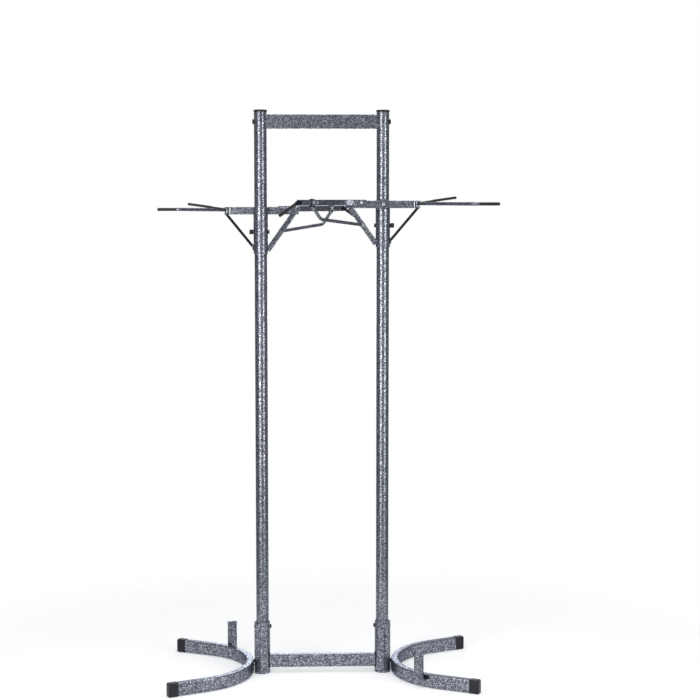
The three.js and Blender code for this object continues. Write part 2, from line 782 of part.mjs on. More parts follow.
function addStrut(cradle, side) {
  const { ringAt, elbow, eye } = strutPoints();
  const corners = fixedArmCorners();
  const slant = corners[2].clone().sub(corners[1]);
  const turn = Math.atan2(slant.y, slant.x);
  const collar = box(ringLength, barArmThickness + 2 * ringWall, barArmHeight + 2 * ringWall, 0, 0, 0)
    .rotateZ(turn).translate(ringAt.x, ringAt.y, ringAt.z);
  const slot = box(ringLength + overrun, barArmThickness + 2 * fit, barArmHeight + 2 * fit, 0, 0, 0)
    .rotateZ(turn).translate(ringAt.x, ringAt.y, ringAt.z);
  const foot = ringAt.clone();
  foot.z -= barArmHeight / 2;
  const rod = swept(circle(strutRadius), bentPath([foot, elbow, eye], strutBend), rodSteps);
  const disc = barAlongY(eyeRadius, eye.y - eyeThickness / 2, eye.y + eyeThickness / 2,
    eye.x, eye.z);
  const behind = box(2 * eyeRadius, 2 * eyeRadius, 2 * eyeRadius,
    eye.x, eye.y + eyeThickness / 2 + eyeRadius, eye.z);
  const face = eye.y - eyeThickness / 2;
  const headRoom = barAlongY(screwHead + fit, face - 2 * eyeRadius, face, eye.x, eye.z);
  const hole = barAlongY(screwRadius + fit, eye.y - overrun - eyeRadius, eye.y + overrun,
    eye.x, eye.z);
  const beside = ringAt.clone().addScaledVector(outOfSlant(), barArmHeight);
  const ringHole = rodBetween(screwRadius + fit, ringAt, beside, screwSides);
  const strut = carve(rod, [slot, behind, headRoom, hole, ringHole], [collar, disc]);
  place(cradle, `strut_${side}`, strut, steel);
}

function addCradleScrews(cradle, side) {
  const forward = new THREE.Vector3(0, -1, 0);
  const { ringAt, eye, onBrace } = strutPoints();
  const ringFace = ringAt.clone()
    .addScaledVector(outOfSlant(), barArmThickness / 2 + ringWall + fit);
  const screws = {
    crosspiece_screw: {
      at: new THREE.Vector3(0, crosspieceFront - fit, 0), aim: forward,
      length: -crosspieceFront - postRadius - 2 * fit,
    },
    arm_screw: {
      at: new THREE.Vector3(-(barArmStart + armScrewInset), barArmY - barArmThickness / 2 - fit,
        barArmLift),
      aim: forward, length: barArmThickness + crosspieceWall + crosspieceDepth / 4,
    },
    strut_screw: { at: ringFace, aim: outOfSlant(), length: ringWall },
    brace_screw: {
      at: new THREE.Vector3(eye.x, eye.y - eyeThickness / 2 - fit, onBrace.z), aim: forward,
      length: eyeThickness + barBraceThickness + fit,
    },
  };
  for (const [name, { at, aim, length }] of Object.entries(screws)) {
    const screw = domedScrew(screwHead, screwDome, screwRadius, length);
    aimMesh(place(cradle, `${name}_${side}`, screw, zinc), at, aim);
  }
}

function addClamp(cradle, side) {
  const seat = sleeveRadius + fit;
  const end = -(sleeveWall + fit);
  const knobFace = knobRadius * knobFaceShare;
  const knob = turned([
    [0, end], [clampRadius, end], [clampRadius, 0], [knobFace, 0],
    [knobRadius, knobEdge], [knobRadius, knobLength - knobEdge],
    [knobFace, knobLength], [0, knobLength],
  ]);
  const grooves = [];
  for (let i = 0; i < knobGrooves; i += 1) {
    const turn = 2 * Math.PI * i / knobGrooves;
    grooves.push(cylinder(knobGroove, knobSkirt, knobLength + overrun, hexSides)
      .translate(knobRadius * Math.cos(turn), knobRadius * Math.sin(turn), 0));
  }
  const outward = new THREE.Vector3(1, 0, 0);
  const clamp = place(cradle, `clamp_knob_${side}`, carve(knob, grooves), plastic);
  aimMesh(clamp, new THREE.Vector3(seat, 0, -clampDrop), outward);

  const hexHead = cylinder(setScrewHead, 0, setScrewLength, hexSides);
  const shank = rodBetween(clampRadius, new THREE.Vector3(0, 0, end),
    new THREE.Vector3(0, 0, setScrewLength / 2), screwSides);
  const screw = place(cradle, `set_screw_${side}`, carve(hexHead, [], [shank]), blackSteel);
  aimMesh(screw, new THREE.Vector3(-seat, 0, -clampDrop), outward.clone().negate());
}

function addCradle(half, side, height) {
  const cradle = new THREE.Group();
  cradle.position.set(postX, 0, height);
  half.add(cradle);
  addSleeve(cradle, side);
  addCrosspiece(cradle, side);
  addGateArm(cradle, side);
  addFixedArm(cradle, side);
  addRodBrace(cradle, side);
  addBarBrace(cradle, side);
  addStrut(cradle, side);
  addCradleScrews(cradle, side);
  addClamp(cradle, side);
}

function addHalf(side, turn, cradleHeight) {
  const half = new THREE.Group();
  half.rotation.z = turn;
  root.add(half);
  addSocket(half, side);
  addPost(half, side);
  addFoot(half, side);
  addFootCaps(half, side);
  addSaddle(half, side);
  addWheelStop(half, side);
  addFrameBolts(half, side);
  addCradle(half, side, cradleHeight);
}

addHalf('right', 0, rightCradleHeight);
addHalf('left', Math.PI, leftCradleHeight);
addCrossbars(root);

export default root;
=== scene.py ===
import math

import bmesh
import bpy
from mathutils import Matrix, Vector


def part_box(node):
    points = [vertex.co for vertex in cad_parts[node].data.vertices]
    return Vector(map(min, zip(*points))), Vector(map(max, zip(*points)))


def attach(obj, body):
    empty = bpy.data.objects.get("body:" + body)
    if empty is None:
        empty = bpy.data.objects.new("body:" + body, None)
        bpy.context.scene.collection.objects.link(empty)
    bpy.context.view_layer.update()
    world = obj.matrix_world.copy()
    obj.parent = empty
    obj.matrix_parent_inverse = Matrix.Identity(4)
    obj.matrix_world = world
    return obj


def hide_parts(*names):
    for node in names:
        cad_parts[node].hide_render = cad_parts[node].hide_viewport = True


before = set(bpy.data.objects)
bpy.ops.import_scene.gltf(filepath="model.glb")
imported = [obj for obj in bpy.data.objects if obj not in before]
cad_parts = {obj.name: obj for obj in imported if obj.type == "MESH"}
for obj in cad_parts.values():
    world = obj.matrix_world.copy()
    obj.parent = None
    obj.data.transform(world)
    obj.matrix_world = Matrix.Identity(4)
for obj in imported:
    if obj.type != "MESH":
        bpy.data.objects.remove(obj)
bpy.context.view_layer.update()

mm = 0.001
up = Vector((0, 0, 1))


def middle(node):
    low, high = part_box(node)
    return (low + high) / 2


def span(node):
    low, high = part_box(node)
    return high - low


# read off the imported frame

postX = middle("upper_tube_right").x
postRadius = span("upper_tube_right").x / 2
socketRadius = span("socket_right").x / 2
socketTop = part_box("socket_right")[1].z
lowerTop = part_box("lower_tube_right")[1].z
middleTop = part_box("middle_tube_right")[1].z
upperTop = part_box("upper_tube_right")[1].z
cradleZ = {side: middle(f"cradle_crosspiece_{side}").z for side in ("right", "left")}
crossY = middle("cradle_crosspiece_right").y
crossSize = span("cradle_crosspiece_right")
sides = {"right": 0.0, "left": math.pi}
gap = 0.3 * mm


def halfPlace(side):
    # from the right-hand post's own axis to the place of either post
    return Matrix.Rotation(sides[side], 4, "Z") @ Matrix.Translation((postX, 0, 0))


def cradlePlace(side):
    return halfPlace(side) @ Matrix.Translation((0, 0, cradleZ[side]))


# camera, light and floor

camera = {"place": (-0.0935, -4.5013, 1.2930), "lens": 86.72, "pitch": 84.77, "heading": -2.145}


def addCamera():
    data = bpy.data.cameras.new("camera")
    data.lens = camera["lens"]
    data.sensor_width = 36
    eye = bpy.data.objects.new("camera", data)
    eye.location = camera["place"]
    eye.rotation_euler = (math.radians(camera["pitch"]), 0, math.radians(camera["heading"]))
    bpy.context.collection.objects.link(eye)
    bpy.context.scene.camera = eye


# what reflections and shading see of the room round the object
room = {"light": 0.34, "front": 0.5, "frontTo": -0.2, "backFrom": 0.3, "wall": 0.26,
        "wallFrom": 0.3, "wallTo": 0.6}
lamps = [
    {"name": "leftSoftbox", "place": (-1.18, -2.2, 0.95), "size": (1.2, 1.8), "power": 32},
    {"name": "rightSoftbox", "place": (1.66, -1.65, 0.95), "size": (0.9, 1.8), "power": 20},
    {"name": "topSoftbox", "place": (0.0, -0.4, 3.4), "size": (2.4, 2.4), "power": 34},
    {"name": "backSoftbox", "place": (0.0, 3.2, 0.94), "size": (0.95, 0.5), "power": 12},
]
lampAim = Vector((0, 0, 0.8))  # the middle of the rack


def addLamp(name, place, size, power):
    data = bpy.data.lights.new(name, "AREA")
    data.shape = "RECTANGLE"
    data.size, data.size_y = size
    data.energy = power
    lamp = bpy.data.objects.new(name, data)
    lamp.location = place
    lamp.rotation_euler = (lampAim - Vector(place)).to_track_quat("-Z", "Y").to_euler()
    bpy.context.collection.objects.link(lamp)


class Value:
    # one output socket of a shader, with sums written as plain Python

    def __init__(self, tree, socket):
        self.tree = tree
        self.socket = socket

    def sum(self, operation, other, swapped=False):
        first, second = (other, self) if swapped else (self, other)
        return addNode(self.tree, "ShaderNodeMath", {"operation": operation},
                       In0=first, In1=second)["Value"]

    def __add__(self, other):
        return self.sum("ADD", other)

    def __radd__(self, other):
        return self.sum("ADD", other, True)

    def __sub__(self, other):
        return self.sum("SUBTRACT", other)

    def __rsub__(self, other):
        return self.sum("SUBTRACT", other, True)

    def __mul__(self, other):
        return self.sum("MULTIPLY", other)

    def __rmul__(self, other):
        return self.sum("MULTIPLY", other, True)


def addNode(tree, kind, settings=None, **inputs):
    made = tree.nodes.new(kind)
    for name, setting in (settings or {}).items():
        if name == "stops":
            ramp = made.color_ramp
            while len(ramp.elements) < len(setting):
                ramp.elements.new(0.5)
            for element, (place, colour) in zip(ramp.elements, setting):
                element.position = place
                element.color = colour if len(colour) == 4 else (*colour, 1)
        else:
            setattr(made, name, setting)
    for name, given in inputs.items():
        number = name[2:]
        key = int(number) if name.startswith("In") and number.isdigit() else name.replace("_", " ")
        if isinstance(given, Value):
            tree.links.new(given.socket, made.inputs[key])
        else:
            made.inputs[key].default_value = given
    return {socket.name: Value(tree, socket) for socket in made.outputs}


def eased(value, low, high, start=0.0, end=1.0):
    # goes smoothly from the start to the end while the value goes from low to high
    return addNode(value.tree, "ShaderNodeMapRange", {"interpolation_type": "SMOOTHSTEP"},
                   Value=value, In1=low, In2=high, In3=start, In4=end)["Result"]


def startMaterial(name):
    material = bpy.data.materials.new(name)
    material.use_nodes = True
    material.node_tree.nodes.clear()
    return material, material.node_tree


def endMaterial(material, shader):
    addNode(material.node_tree, "ShaderNodeOutputMaterial", Surface=shader)
    return material


def addWorld():
    # reflections see the white backdrop behind, a greyer room in front and dim walls at the sides
    world = bpy.data.worlds.new("studio")
    world.use_nodes = True
    tree = world.node_tree
    tree.nodes.clear()
    rays = addNode(tree, "ShaderNodeLightPath")
    seen = rays["Is Camera Ray"].sum("MAXIMUM", rays["Is Transmission Ray"])
    way = addNode(tree, "ShaderNodeTexCoord")["Generated"]
    parts = addNode(tree, "ShaderNodeSeparateXYZ", Vector=way)
    wall = eased(parts["X"] * parts["X"], room["wallFrom"], room["wallTo"])
    back = eased(parts["Y"], room["frontTo"], room["backFrom"], room["front"], 1.0)
    mirrored = back * (1 - wall) + room["wall"] * wall
    direct = seen.sum("MAXIMUM", rays["Is Glossy Ray"] * mirrored)
    plain = 1 - rays["Is Glossy Ray"].sum("MAXIMUM", seen)
    strength = direct + room["light"] * plain
    sky = addNode(tree, "ShaderNodeBackground", Color=(1, 1, 1, 1), Strength=strength)
    addNode(tree, "ShaderNodeOutputWorld", Surface=sky["Background"])
    bpy.context.scene.world = world


floorSize = {"radius": 3.0, "sides": 96, "solidTo": 0.75, "clearFrom": 1.35, "lift": 0.3,
             "colour": (0.9, 0.91, 0.93, 1)}


def addFloor():
    bm = bmesh.new()
    bmesh.ops.create_circle(bm, cap_ends=True, segments=floorSize["sides"],
                            radius=floorSize["radius"])
    mesh = bpy.data.meshes.new("floor")
    bm.to_mesh(mesh)
    bm.free()
    floor = bpy.data.objects.new("floor", mesh)
    bpy.context.collection.objects.link(floor)
    material, tree = startMaterial("paleFloor")
    place = addNode(tree, "ShaderNodeTexCoord")["Object"]
    reach = addNode(tree, "ShaderNodeVectorMath", {"operation": "LENGTH"}, In0=place)["Value"]
    fade = eased(reach, floorSize["solidTo"], floorSize["clearFrom"])
    pale = addNode(tree, "ShaderNodeBsdfDiffuse", Color=floorSize["colour"])["BSDF"]
    rays = addNode(tree, "ShaderNodeLightPath")
    seen = rays["Is Camera Ray"].sum("MAXIMUM", rays["Is Glossy Ray"])
    glow = addNode(tree, "ShaderNodeEmission", Strength=floorSize["lift"] * seen)["Emission"]
    pale = addNode(tree, "ShaderNodeAddShader", In0=pale, In1=glow)["Shader"]
    clear = addNode(tree, "ShaderNodeBsdfTransparent")["BSDF"]
    mixed = addNode(tree, "ShaderNodeMixShader", Fac=fade, In1=pale, In2=clear)["Shader"]
    floor.data.materials.append(endMaterial(material, mixed))


addCamera()
for lamp in lamps:
    addLamp(**lamp)
addWorld()
addFloor()
bpy.context.scene.view_settings.view_transform = "Standard"
print("camera, lamps and floor are set")


# finishes

# flakes and haze mix the tone, depth lowers it, and polish and sparkle follow it
paint = {
    "tones": [(0.0, (0.012, 0.013, 0.018)), (0.16, (0.08, 0.088, 0.11)),
              (0.42, (0.225, 0.24, 0.285)), (0.8, (0.66, 0.69, 0.76))],
    "grain": 370, "warp": 0.001, "rim": (0.02, 0.25), "cloud": 900, "flakes": 0.8,
    "haze": 0.7, "depth": 0.2, "bump": 0.15, "relief": 0.0003, "roughness": 0.3, "polish": 0.1,
    "metallic": 0.68, "sparkle": 0.3, "tint": (0.4, 0.42, 0.48, 1), "shine": 0.5,
}


def hammertone():
    material, tree = startMaterial("hammertonePaint")
    place = addNode(tree, "ShaderNodeTexCoord")["Object"]
    wave = addNode(tree, "ShaderNodeTexNoise", Vector=place, Scale=paint["grain"],
                   Detail=2.0, Roughness=0.6)
    shift = addNode(tree, "ShaderNodeVectorMath", {"operation": "SCALE"}, In0=wave["Color"],
                    Scale=paint["warp"])["Vector"]
    warped = addNode(tree, "ShaderNodeVectorMath", {"operation": "ADD"}, In0=place,
                     In1=shift)["Vector"]
    cells = addNode(tree, "ShaderNodeTexVoronoi", Vector=warped, Scale=paint["grain"])["Color"]
    edges = addNode(tree, "ShaderNodeTexVoronoi", {"feature": "DISTANCE_TO_EDGE"},
                    Vector=warped, Scale=paint["grain"])["Distance"]
    island = eased(edges, *paint["rim"])
    lot = addNode(tree, "ShaderNodeSeparateColor", Color=cells)["Red"]
    fine = addNode(tree, "ShaderNodeTexNoise", Vector=place, Scale=paint["cloud"],
                   Detail=1.0)["Fac"]
    # painted shade: the paint is darker on welds and thin rods, standing in for the shade on them
    thicknessOrShade = addNode(tree, "ShaderNodeAttribute", {"attribute_name": "thickPaint"})["Fac"]
    tone = (paint["flakes"] * lot * island + paint["haze"] * fine - paint["depth"]) * (1 - thicknessOrShade)
    colour = addNode(tree, "ShaderNodeValToRGB", {"stops": paint["tones"]}, Fac=tone)["Color"]
    bump = addNode(tree, "ShaderNodeBump", Strength=paint["bump"], Distance=paint["relief"],
                   Height=island)["Normal"]
    shader = addNode(tree, "ShaderNodeBsdfPrincipled", Base_Color=colour, Normal=bump,
                     Roughness=paint["roughness"] - paint["polish"] * tone,
                     Metallic=paint["metallic"] + paint["sparkle"] * tone,
                     Specular_Tint=paint["tint"], Specular_IOR_Level=paint["shine"])
    return endMaterial(material, shader["BSDF"])


# cloud and grain are the scale and detail of two noises, for the colour and for the relief
plainLooks = {
    "black_plastic": {"name": "mouldedPlastic", "cloud": (60, 4), "grain": (1400, 3),
                      "tones": [(0.3, (0.007, 0.007, 0.011)), (0.75, (0.018, 0.018, 0.026))],
                      "bump": 0.25, "relief": 0.0001, "roughness": 0.34, "wear": 0.2,
                      "metallic": 0.0, "shine": 0.3},
    "black_vinyl": {"name": "dippedVinyl", "cloud": (900, 4), "grain": (260, 2),
                    "tones": [(0.35, (0.010, 0.010, 0.013)), (0.8, (0.028, 0.028, 0.034))],
                    "bump": 0.3, "relief": 0.0002, "roughness": 0.3, "wear": 0.15,
                    "metallic": 0.0, "shine": 0.3},
    "black_steel": {"name": "blackenedSteel", "cloud": (420, 4), "grain": (420, 4),
                    "tones": [(0.3, (0.012, 0.013, 0.016)), (0.75, (0.05, 0.052, 0.06))],
                    "bump": 0.2, "relief": 0.00008, "roughness": 0.26, "wear": 0.25,
                    "metallic": 0.7, "shine": 0.5},
    "zinc_steel": {"name": "zincPlate", "cloud": (320, 4), "grain": (2600, 2),
                   "tones": [(0.3, (0.50, 0.51, 0.53)), (0.7, (0.74, 0.75, 0.77))],
                   "bump": 0.2, "relief": 0.00006, "roughness": 0.2, "wear": 0.2,
                   "metallic": 1.0, "shine": 0.5},
}


def plainFinish(name, cloud, grain, tones, bump, relief, roughness, wear, metallic, shine):
    material, tree = startMaterial(name)
    place = addNode(tree, "ShaderNodeTexCoord")["Object"]
    cloudy, grainy = (addNode(tree, "ShaderNodeTexNoise", Vector=place, Scale=scale,
                              Detail=detail)["Fac"] for scale, detail in (cloud, grain))
    colour = addNode(tree, "ShaderNodeValToRGB", {"stops": tones}, Fac=cloudy)["Color"]
    normal = addNode(tree, "ShaderNodeBump", Strength=bump, Distance=relief,
                     Height=grainy)["Normal"]
    shader = addNode(tree, "ShaderNodeBsdfPrincipled", Base_Color=colour, Metallic=metallic,
                     Roughness=roughness + wear * cloudy, Normal=normal,
                     Specular_IOR_Level=shine)
    return endMaterial(material, shader["BSDF"])


finishes = {"hammertone_paint": hammertone()}
for slot, look in plainLooks.items():
    finishes[slot] = plainFinish(**look)
print("finishes are made")


# how solids are made

def freshNormals(bm):
    bmesh.ops.recalc_face_normals(bm, faces=bm.faces)
    return bm


def moved(bm, matrix):
    bmesh.ops.transform(bm, matrix=matrix, verts=bm.verts)
    return bm


def shifted(bm, x, y, z):
    return moved(bm, Matrix.Translation((x, y, z)))


def aimed(bm, root, direction, roll=0.0):
    # turns what was made along +Z so that it points along the direction
    turn = Vector(direction).to_track_quat("Z", "Y").to_matrix().to_4x4()
    return moved(bm, Matrix.Translation(root) @ turn @ Matrix.Rotation(roll, 4, "Z"))


def pointing(root, direction, rise=up):
    # a place at the root with Z along the direction and Y towards the rise
    way = Vector(direction).normalized()
    across = Vector(rise).cross(way).normalized()
    turn = Matrix((across, way.cross(across), way)).transposed().to_4x4()
    return Matrix.Translation(root) @ turn


def trimmed(bm, at, out, near=None):
    # cuts off what lies beyond a plane and closes the cut
    geom = bm.verts[:] + bm.edges[:] + bm.faces[:]
    if near:
        centre, reach = near
        close = [vert for vert in bm.verts if (vert.co - centre).length < reach]
        geom = close + [edge for edge in bm.edges if any(vert in close for vert in edge.verts)]
        geom += [face for face in bm.faces if any(vert in close for vert in face.verts)]
    bmesh.ops.bisect_plane(bm, geom=geom, plane_co=at, plane_no=out, clear_outer=True, dist=1e-7)
    bmesh.ops.holes_fill(bm, edges=[edge for edge in bm.edges if edge.is_boundary], sides=0)
    return freshNormals(bm)


def turned(profile, steps=64, closed=False):
    # spins a profile of (radius, height) pairs round Z
    bm = bmesh.new()
    verts = [bm.verts.new((radius, 0, z)) for radius, z in profile]
    pairs = list(zip(verts, verts[1:]))
    if closed:
        pairs.append((verts[-1], verts[0]))
    edges = [bm.edges.new(pair) for pair in pairs]
    bmesh.ops.spin(bm, geom=verts + edges, cent=(0, 0, 0), axis=(0, 0, 1), dvec=(0, 0, 0),
                   angle=2 * math.pi, steps=steps, use_merge=True)
    bmesh.ops.remove_doubles(bm, verts=bm.verts, dist=1e-6)
    return freshNormals(bm)


def roundBar(radius, low, high, edge, steps):
    # a solid bar round Z with its end edges turned off
    return turned([(0, low), (radius - edge, low), (radius, low + edge), (radius, high - edge),
                   (radius - edge, high), (0, high)], steps)


def softened(bm, width, segments=2, sharper=40.0, chosen=None):
    edges = [edge for edge in bm.edges if len(edge.link_faces) == 2
             and edge.calc_face_angle() > math.radians(sharper)
             and (chosen is None or chosen(edge))]
    bmesh.ops.bevel(bm, geom=edges, offset=width, offset_type="OFFSET", segments=segments,
                    profile=0.5, affect="EDGES", clamp_overlap=True, material=-1)
    return bm


def roundOutline(radius, segments=24):
    def draw(bm):
        bmesh.ops.create_circle(bm, cap_ends=True, segments=segments, radius=radius)
    return draw


def barOutline(width, height, corner, segments=5):
    def draw(bm):
        bmesh.ops.create_grid(bm, x_segments=1, y_segments=1, size=0.5)
        bmesh.ops.scale(bm, vec=(width, height, 1), verts=bm.verts)
        bmesh.ops.bevel(bm, geom=bm.verts[:], offset=corner, offset_type="OFFSET",
                        segments=segments, profile=0.5, affect="VERTICES", material=-1)
    return draw


def leftBehind(face):
    # whether a face that is carried on would stay inside the solid
    return [face] if any(len(edge.link_faces) > 1 for edge in face.edges) else []


def pushed(bm, face, way):
    inner = leftBehind(face)
    made = bmesh.ops.extrude_face_region(bm, geom=[face])["geom"]
    bmesh.ops.translate(bm, vec=way, verts=[g for g in made if isinstance(g, bmesh.types.BMVert)])
    bmesh.ops.delete(bm, geom=inner, context="FACES_ONLY")
    return next(g for g in made if isinstance(g, bmesh.types.BMFace))


def bentBar(draw, points, bend=0.0, steps=10, sideWay=None):
    # an outline drawn in XY is carried along the points, its Y kept upwards
    bm = bmesh.new()
    draw(bm)
    points = [Vector(point) for point in points]
    way = (points[1] - points[0]).normalized()
    across = Vector(sideWay) if sideWay else way.cross(up)
    across = (across - way * across.dot(way)).normalized()
    rise = way.cross(across)
    if rise.dot(up) < 0 and not sideWay:
        across, rise = -across, -rise
    turn = Matrix((across, rise, way)).transposed().to_4x4()
    moved(bm, Matrix.Translation(points[0]) @ turn)
    face = bm.faces[:][0]
    here = points[0]
    for corner, after in zip(points[1:], points[2:]):
        onward = (after - corner).normalized()
        angle = way.angle(onward)
        trim = bend * math.tan(angle / 2)
        start = corner - way * trim
        face = pushed(bm, face, start - here)
        inward = (onward - way * way.dot(onward)).normalized()
        inner = leftBehind(face)
        spun = bmesh.ops.spin(bm, geom=[face], cent=start + inward * bend, axis=way.cross(inward),
                              dvec=(0, 0, 0), angle=angle, steps=steps)["geom_last"]
        bmesh.ops.delete(bm, geom=inner, context="FACES_ONLY")
        face = next(g for g in spun if isinstance(g, bmesh.types.BMFace))
        here = corner + onward * trim
        way = onward
    pushed(bm, face, points[-1] - here)
    return freshNormals(bm)


def hollowBar(draw, wall, length):
    # a tube along +Z, open at both ends
    bm = bmesh.new()
    draw(bm)
    core = bm.faces[:][0]
    rim = bmesh.ops.inset_region(bm, faces=[core], thickness=wall, use_even_offset=True,
                                 use_boundary=True)["faces"]
    bmesh.ops.delete(bm, geom=[core], context="FACES")
    made = bmesh.ops.extrude_face_region(bm, geom=rim)["geom"]
    bmesh.ops.translate(bm, vec=(0, 0, length),
                        verts=[g for g in made if isinstance(g, bmesh.types.BMVert)])
    return freshNormals(bm)


def block(width, depth, height, edge=0.0, segments=2):
    bm = bmesh.new()
    bmesh.ops.create_cube(bm, size=1)
    bmesh.ops.scale(bm, vec=(width, depth, height), verts=bm.verts)
    if edge:
        softened(bm, edge, segments)
    return bm


beadLook = {"sides": 10, "ripple": 2.2 * mm, "start": 0.55, "valley": 0.9, "crest": 1.08,
            "end": 0.5}


def weldBead(points, radius):
    # a rippled bead of weld through the points, its paint darkened as painted shade
    size = beadLook["start"]
    bm = bmesh.new()
    bmesh.ops.create_circle(bm, cap_ends=True, segments=beadLook["sides"], radius=radius * size)
    points = [Vector(point) for point in points]
    turn = (points[1] - points[0]).to_track_quat("Z", "Y").to_matrix().to_4x4()
    moved(bm, Matrix.Translation(points[0]) @ turn)
    face = bm.faces[:][0]
    for start, end in zip(points, points[1:]):
        count = max(2, round((end - start).length / beadLook["ripple"] * 2))
        for i in range(count):
            face = pushed(bm, face, (end - start) / count)
            wanted = beadLook["crest"] if i % 2 else beadLook["valley"]
            if end is points[-1] and i == count - 1:
                wanted = beadLook["end"]
            centre = face.calc_center_median()
            bmesh.ops.scale(bm, vec=(wanted / size,) * 3, verts=face.verts,
                            space=Matrix.Translation(-centre))
            size = wanted
    return withPaintedShade(freshNormals(bm))


def withPaintedShade(bm):
    # marks faces for painted shade, which the paint reads and darkens
    for face in bm.faces:
        face.material_index = 1
    return bm


def fullTurn(count=12):
    # angles all the way round, the last one on the first
    return [2 * math.pi * j / count for j in range(count + 1)]


def oval(centre, wide, deep):
    return [centre + Vector((wide * math.cos(t), deep * math.sin(t), 0)) for t in fullTurn()]


def piece(name, solids, finish, body, nodes=(), sharp=32.0):
    # joins solids in one object, gives it its finish and sets it on its body
    whole = bmesh.new()
    for solid in solids:
        part = bpy.data.meshes.new("part")
        solid.to_mesh(part)
        solid.free()
        whole.from_mesh(part)
        bpy.data.meshes.remove(part)
    mesh = bpy.data.meshes.new(name)
    whole.to_mesh(mesh)
    whole.free()
    # faces marked for painted shade become a face attribute that darkens the paint
    marks = [float(polygon.material_index) for polygon in mesh.polygons]
    mesh.attributes.new("thickPaint", "FLOAT", "FACE").data.foreach_set("value", marks)
    mesh.polygons.foreach_set("material_index", [0] * len(marks))
    mesh.polygons.foreach_set("use_smooth", [True] * len(marks))
    mesh.set_sharp_from_angle(angle=math.radians(sharp))
    made = bpy.data.objects.new(name, mesh)
    bpy.context.collection.objects.link(made)
    mesh.materials.append(finishes[finish])
    even = made.modifiers.new("evenShading", "WEIGHTED_NORMAL")
    even.keep_sharp = True
    if nodes:
        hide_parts(*nodes)
    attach(made, body)


def setFramePiece(name, side, solids, finish="hammertone_paint"):
    for solid in solids:
        moved(solid, halfPlace(side))
    piece(f"{name}_look_{side}", solids, finish, "frame", [f"{name}_{side}"])


# posts

postLook = {"wall": 1.6 * mm, "edge": 0.5 * mm, "spigot": 60 * mm, "sides": 72}


def tubeProfile(bottom, top, spigot=True):
    wall, edge = postLook["wall"], postLook["edge"]
    bore = postRadius - wall
    neckRadius = bore - gap
    foot = bottom + gap
    profile = [(bore, top), (postRadius - edge, top), (postRadius, top - edge)]
    if not spigot:
        return profile + [(postRadius, foot), (bore, foot)]
    return profile + [
        (postRadius, foot + edge), (postRadius - edge, foot), (neckRadius, foot),
        (neckRadius, foot - postLook["spigot"]), (neckRadius - wall, foot - postLook["spigot"]),
        (neckRadius - wall, foot + wall), (bore, foot + 2 * wall),
    ]


def addPost(side):
    stretches = {
        "lower_tube": tubeProfile(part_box(f"lower_tube_{side}")[0].z, lowerTop, spigot=False),
        "middle_tube": tubeProfile(lowerTop, middleTop),
        "upper_tube": tubeProfile(middleTop, upperTop),
    }
    for name, profile in stretches.items():
        setFramePiece(name, side, [turned(profile, postLook["sides"], closed=True)])


capLook = {"rim": 1.6 * mm, "plug": 18 * mm, "taper": 1 * mm, "lip": 0.4 * mm,
           "dome": ((0, 2.6), (0.5, 1.4), (1.6, 0.5), (3.2, 0))}  # in and down from its corner


def addPostCap(side):
    rim = postRadius + capLook["rim"]
    plug = postRadius - postLook["wall"] - gap
    seat = upperTop + gap
    low = seat - capLook["plug"]
    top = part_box(f"post_cap_{side}")[1].z
    taper, lip = capLook["taper"], capLook["lip"]
    profile = [(0, low), (plug - taper, low), (plug, low + taper), (plug, seat),
               (rim - lip, seat), (rim, seat + lip)]
    profile += [(rim - inward * mm, top - down * mm) for inward, down in capLook["dome"]]
    cap = turned(profile + [(0, top)], postLook["sides"])
    setFramePiece("post_cap", side, [cap], "black_plastic")


for side in sides:
    addPost(side)
    addPostCap(side)
print("posts are made")


# sockets, saddles and crossbars

socketLook = {"wall": 3 * mm, "floor": 3 * mm, "edge": 0.8 * mm}


def addSocket(side):
    bore = socketRadius - socketLook["wall"]
    edge = socketLook["edge"]
    profile = [(0, 0), (socketRadius - edge, 0), (socketRadius, edge),
               (socketRadius, socketTop - edge), (socketRadius - edge, socketTop),
               (bore + edge / 2, socketTop), (bore, socketTop - edge / 2),
               (bore, socketLook["floor"]), (0, socketLook["floor"])]
    setFramePiece("socket", side, [turned(profile, postLook["sides"])])


saddleLook = {"wall": 2 * mm, "start": 6.5 * mm, "shoulder": 7 * mm, "shoulderCuts": 7,
              "edge": 0.4 * mm, "steps": 40, "webWidth": 24 * mm, "webLow": 8 * mm,
              "webHigh": 32 * mm, "webEdge": 1.2 * mm, "webSink": 1 * mm, "bead": 1.7 * mm,
              "beadSink": 0.4 * mm}


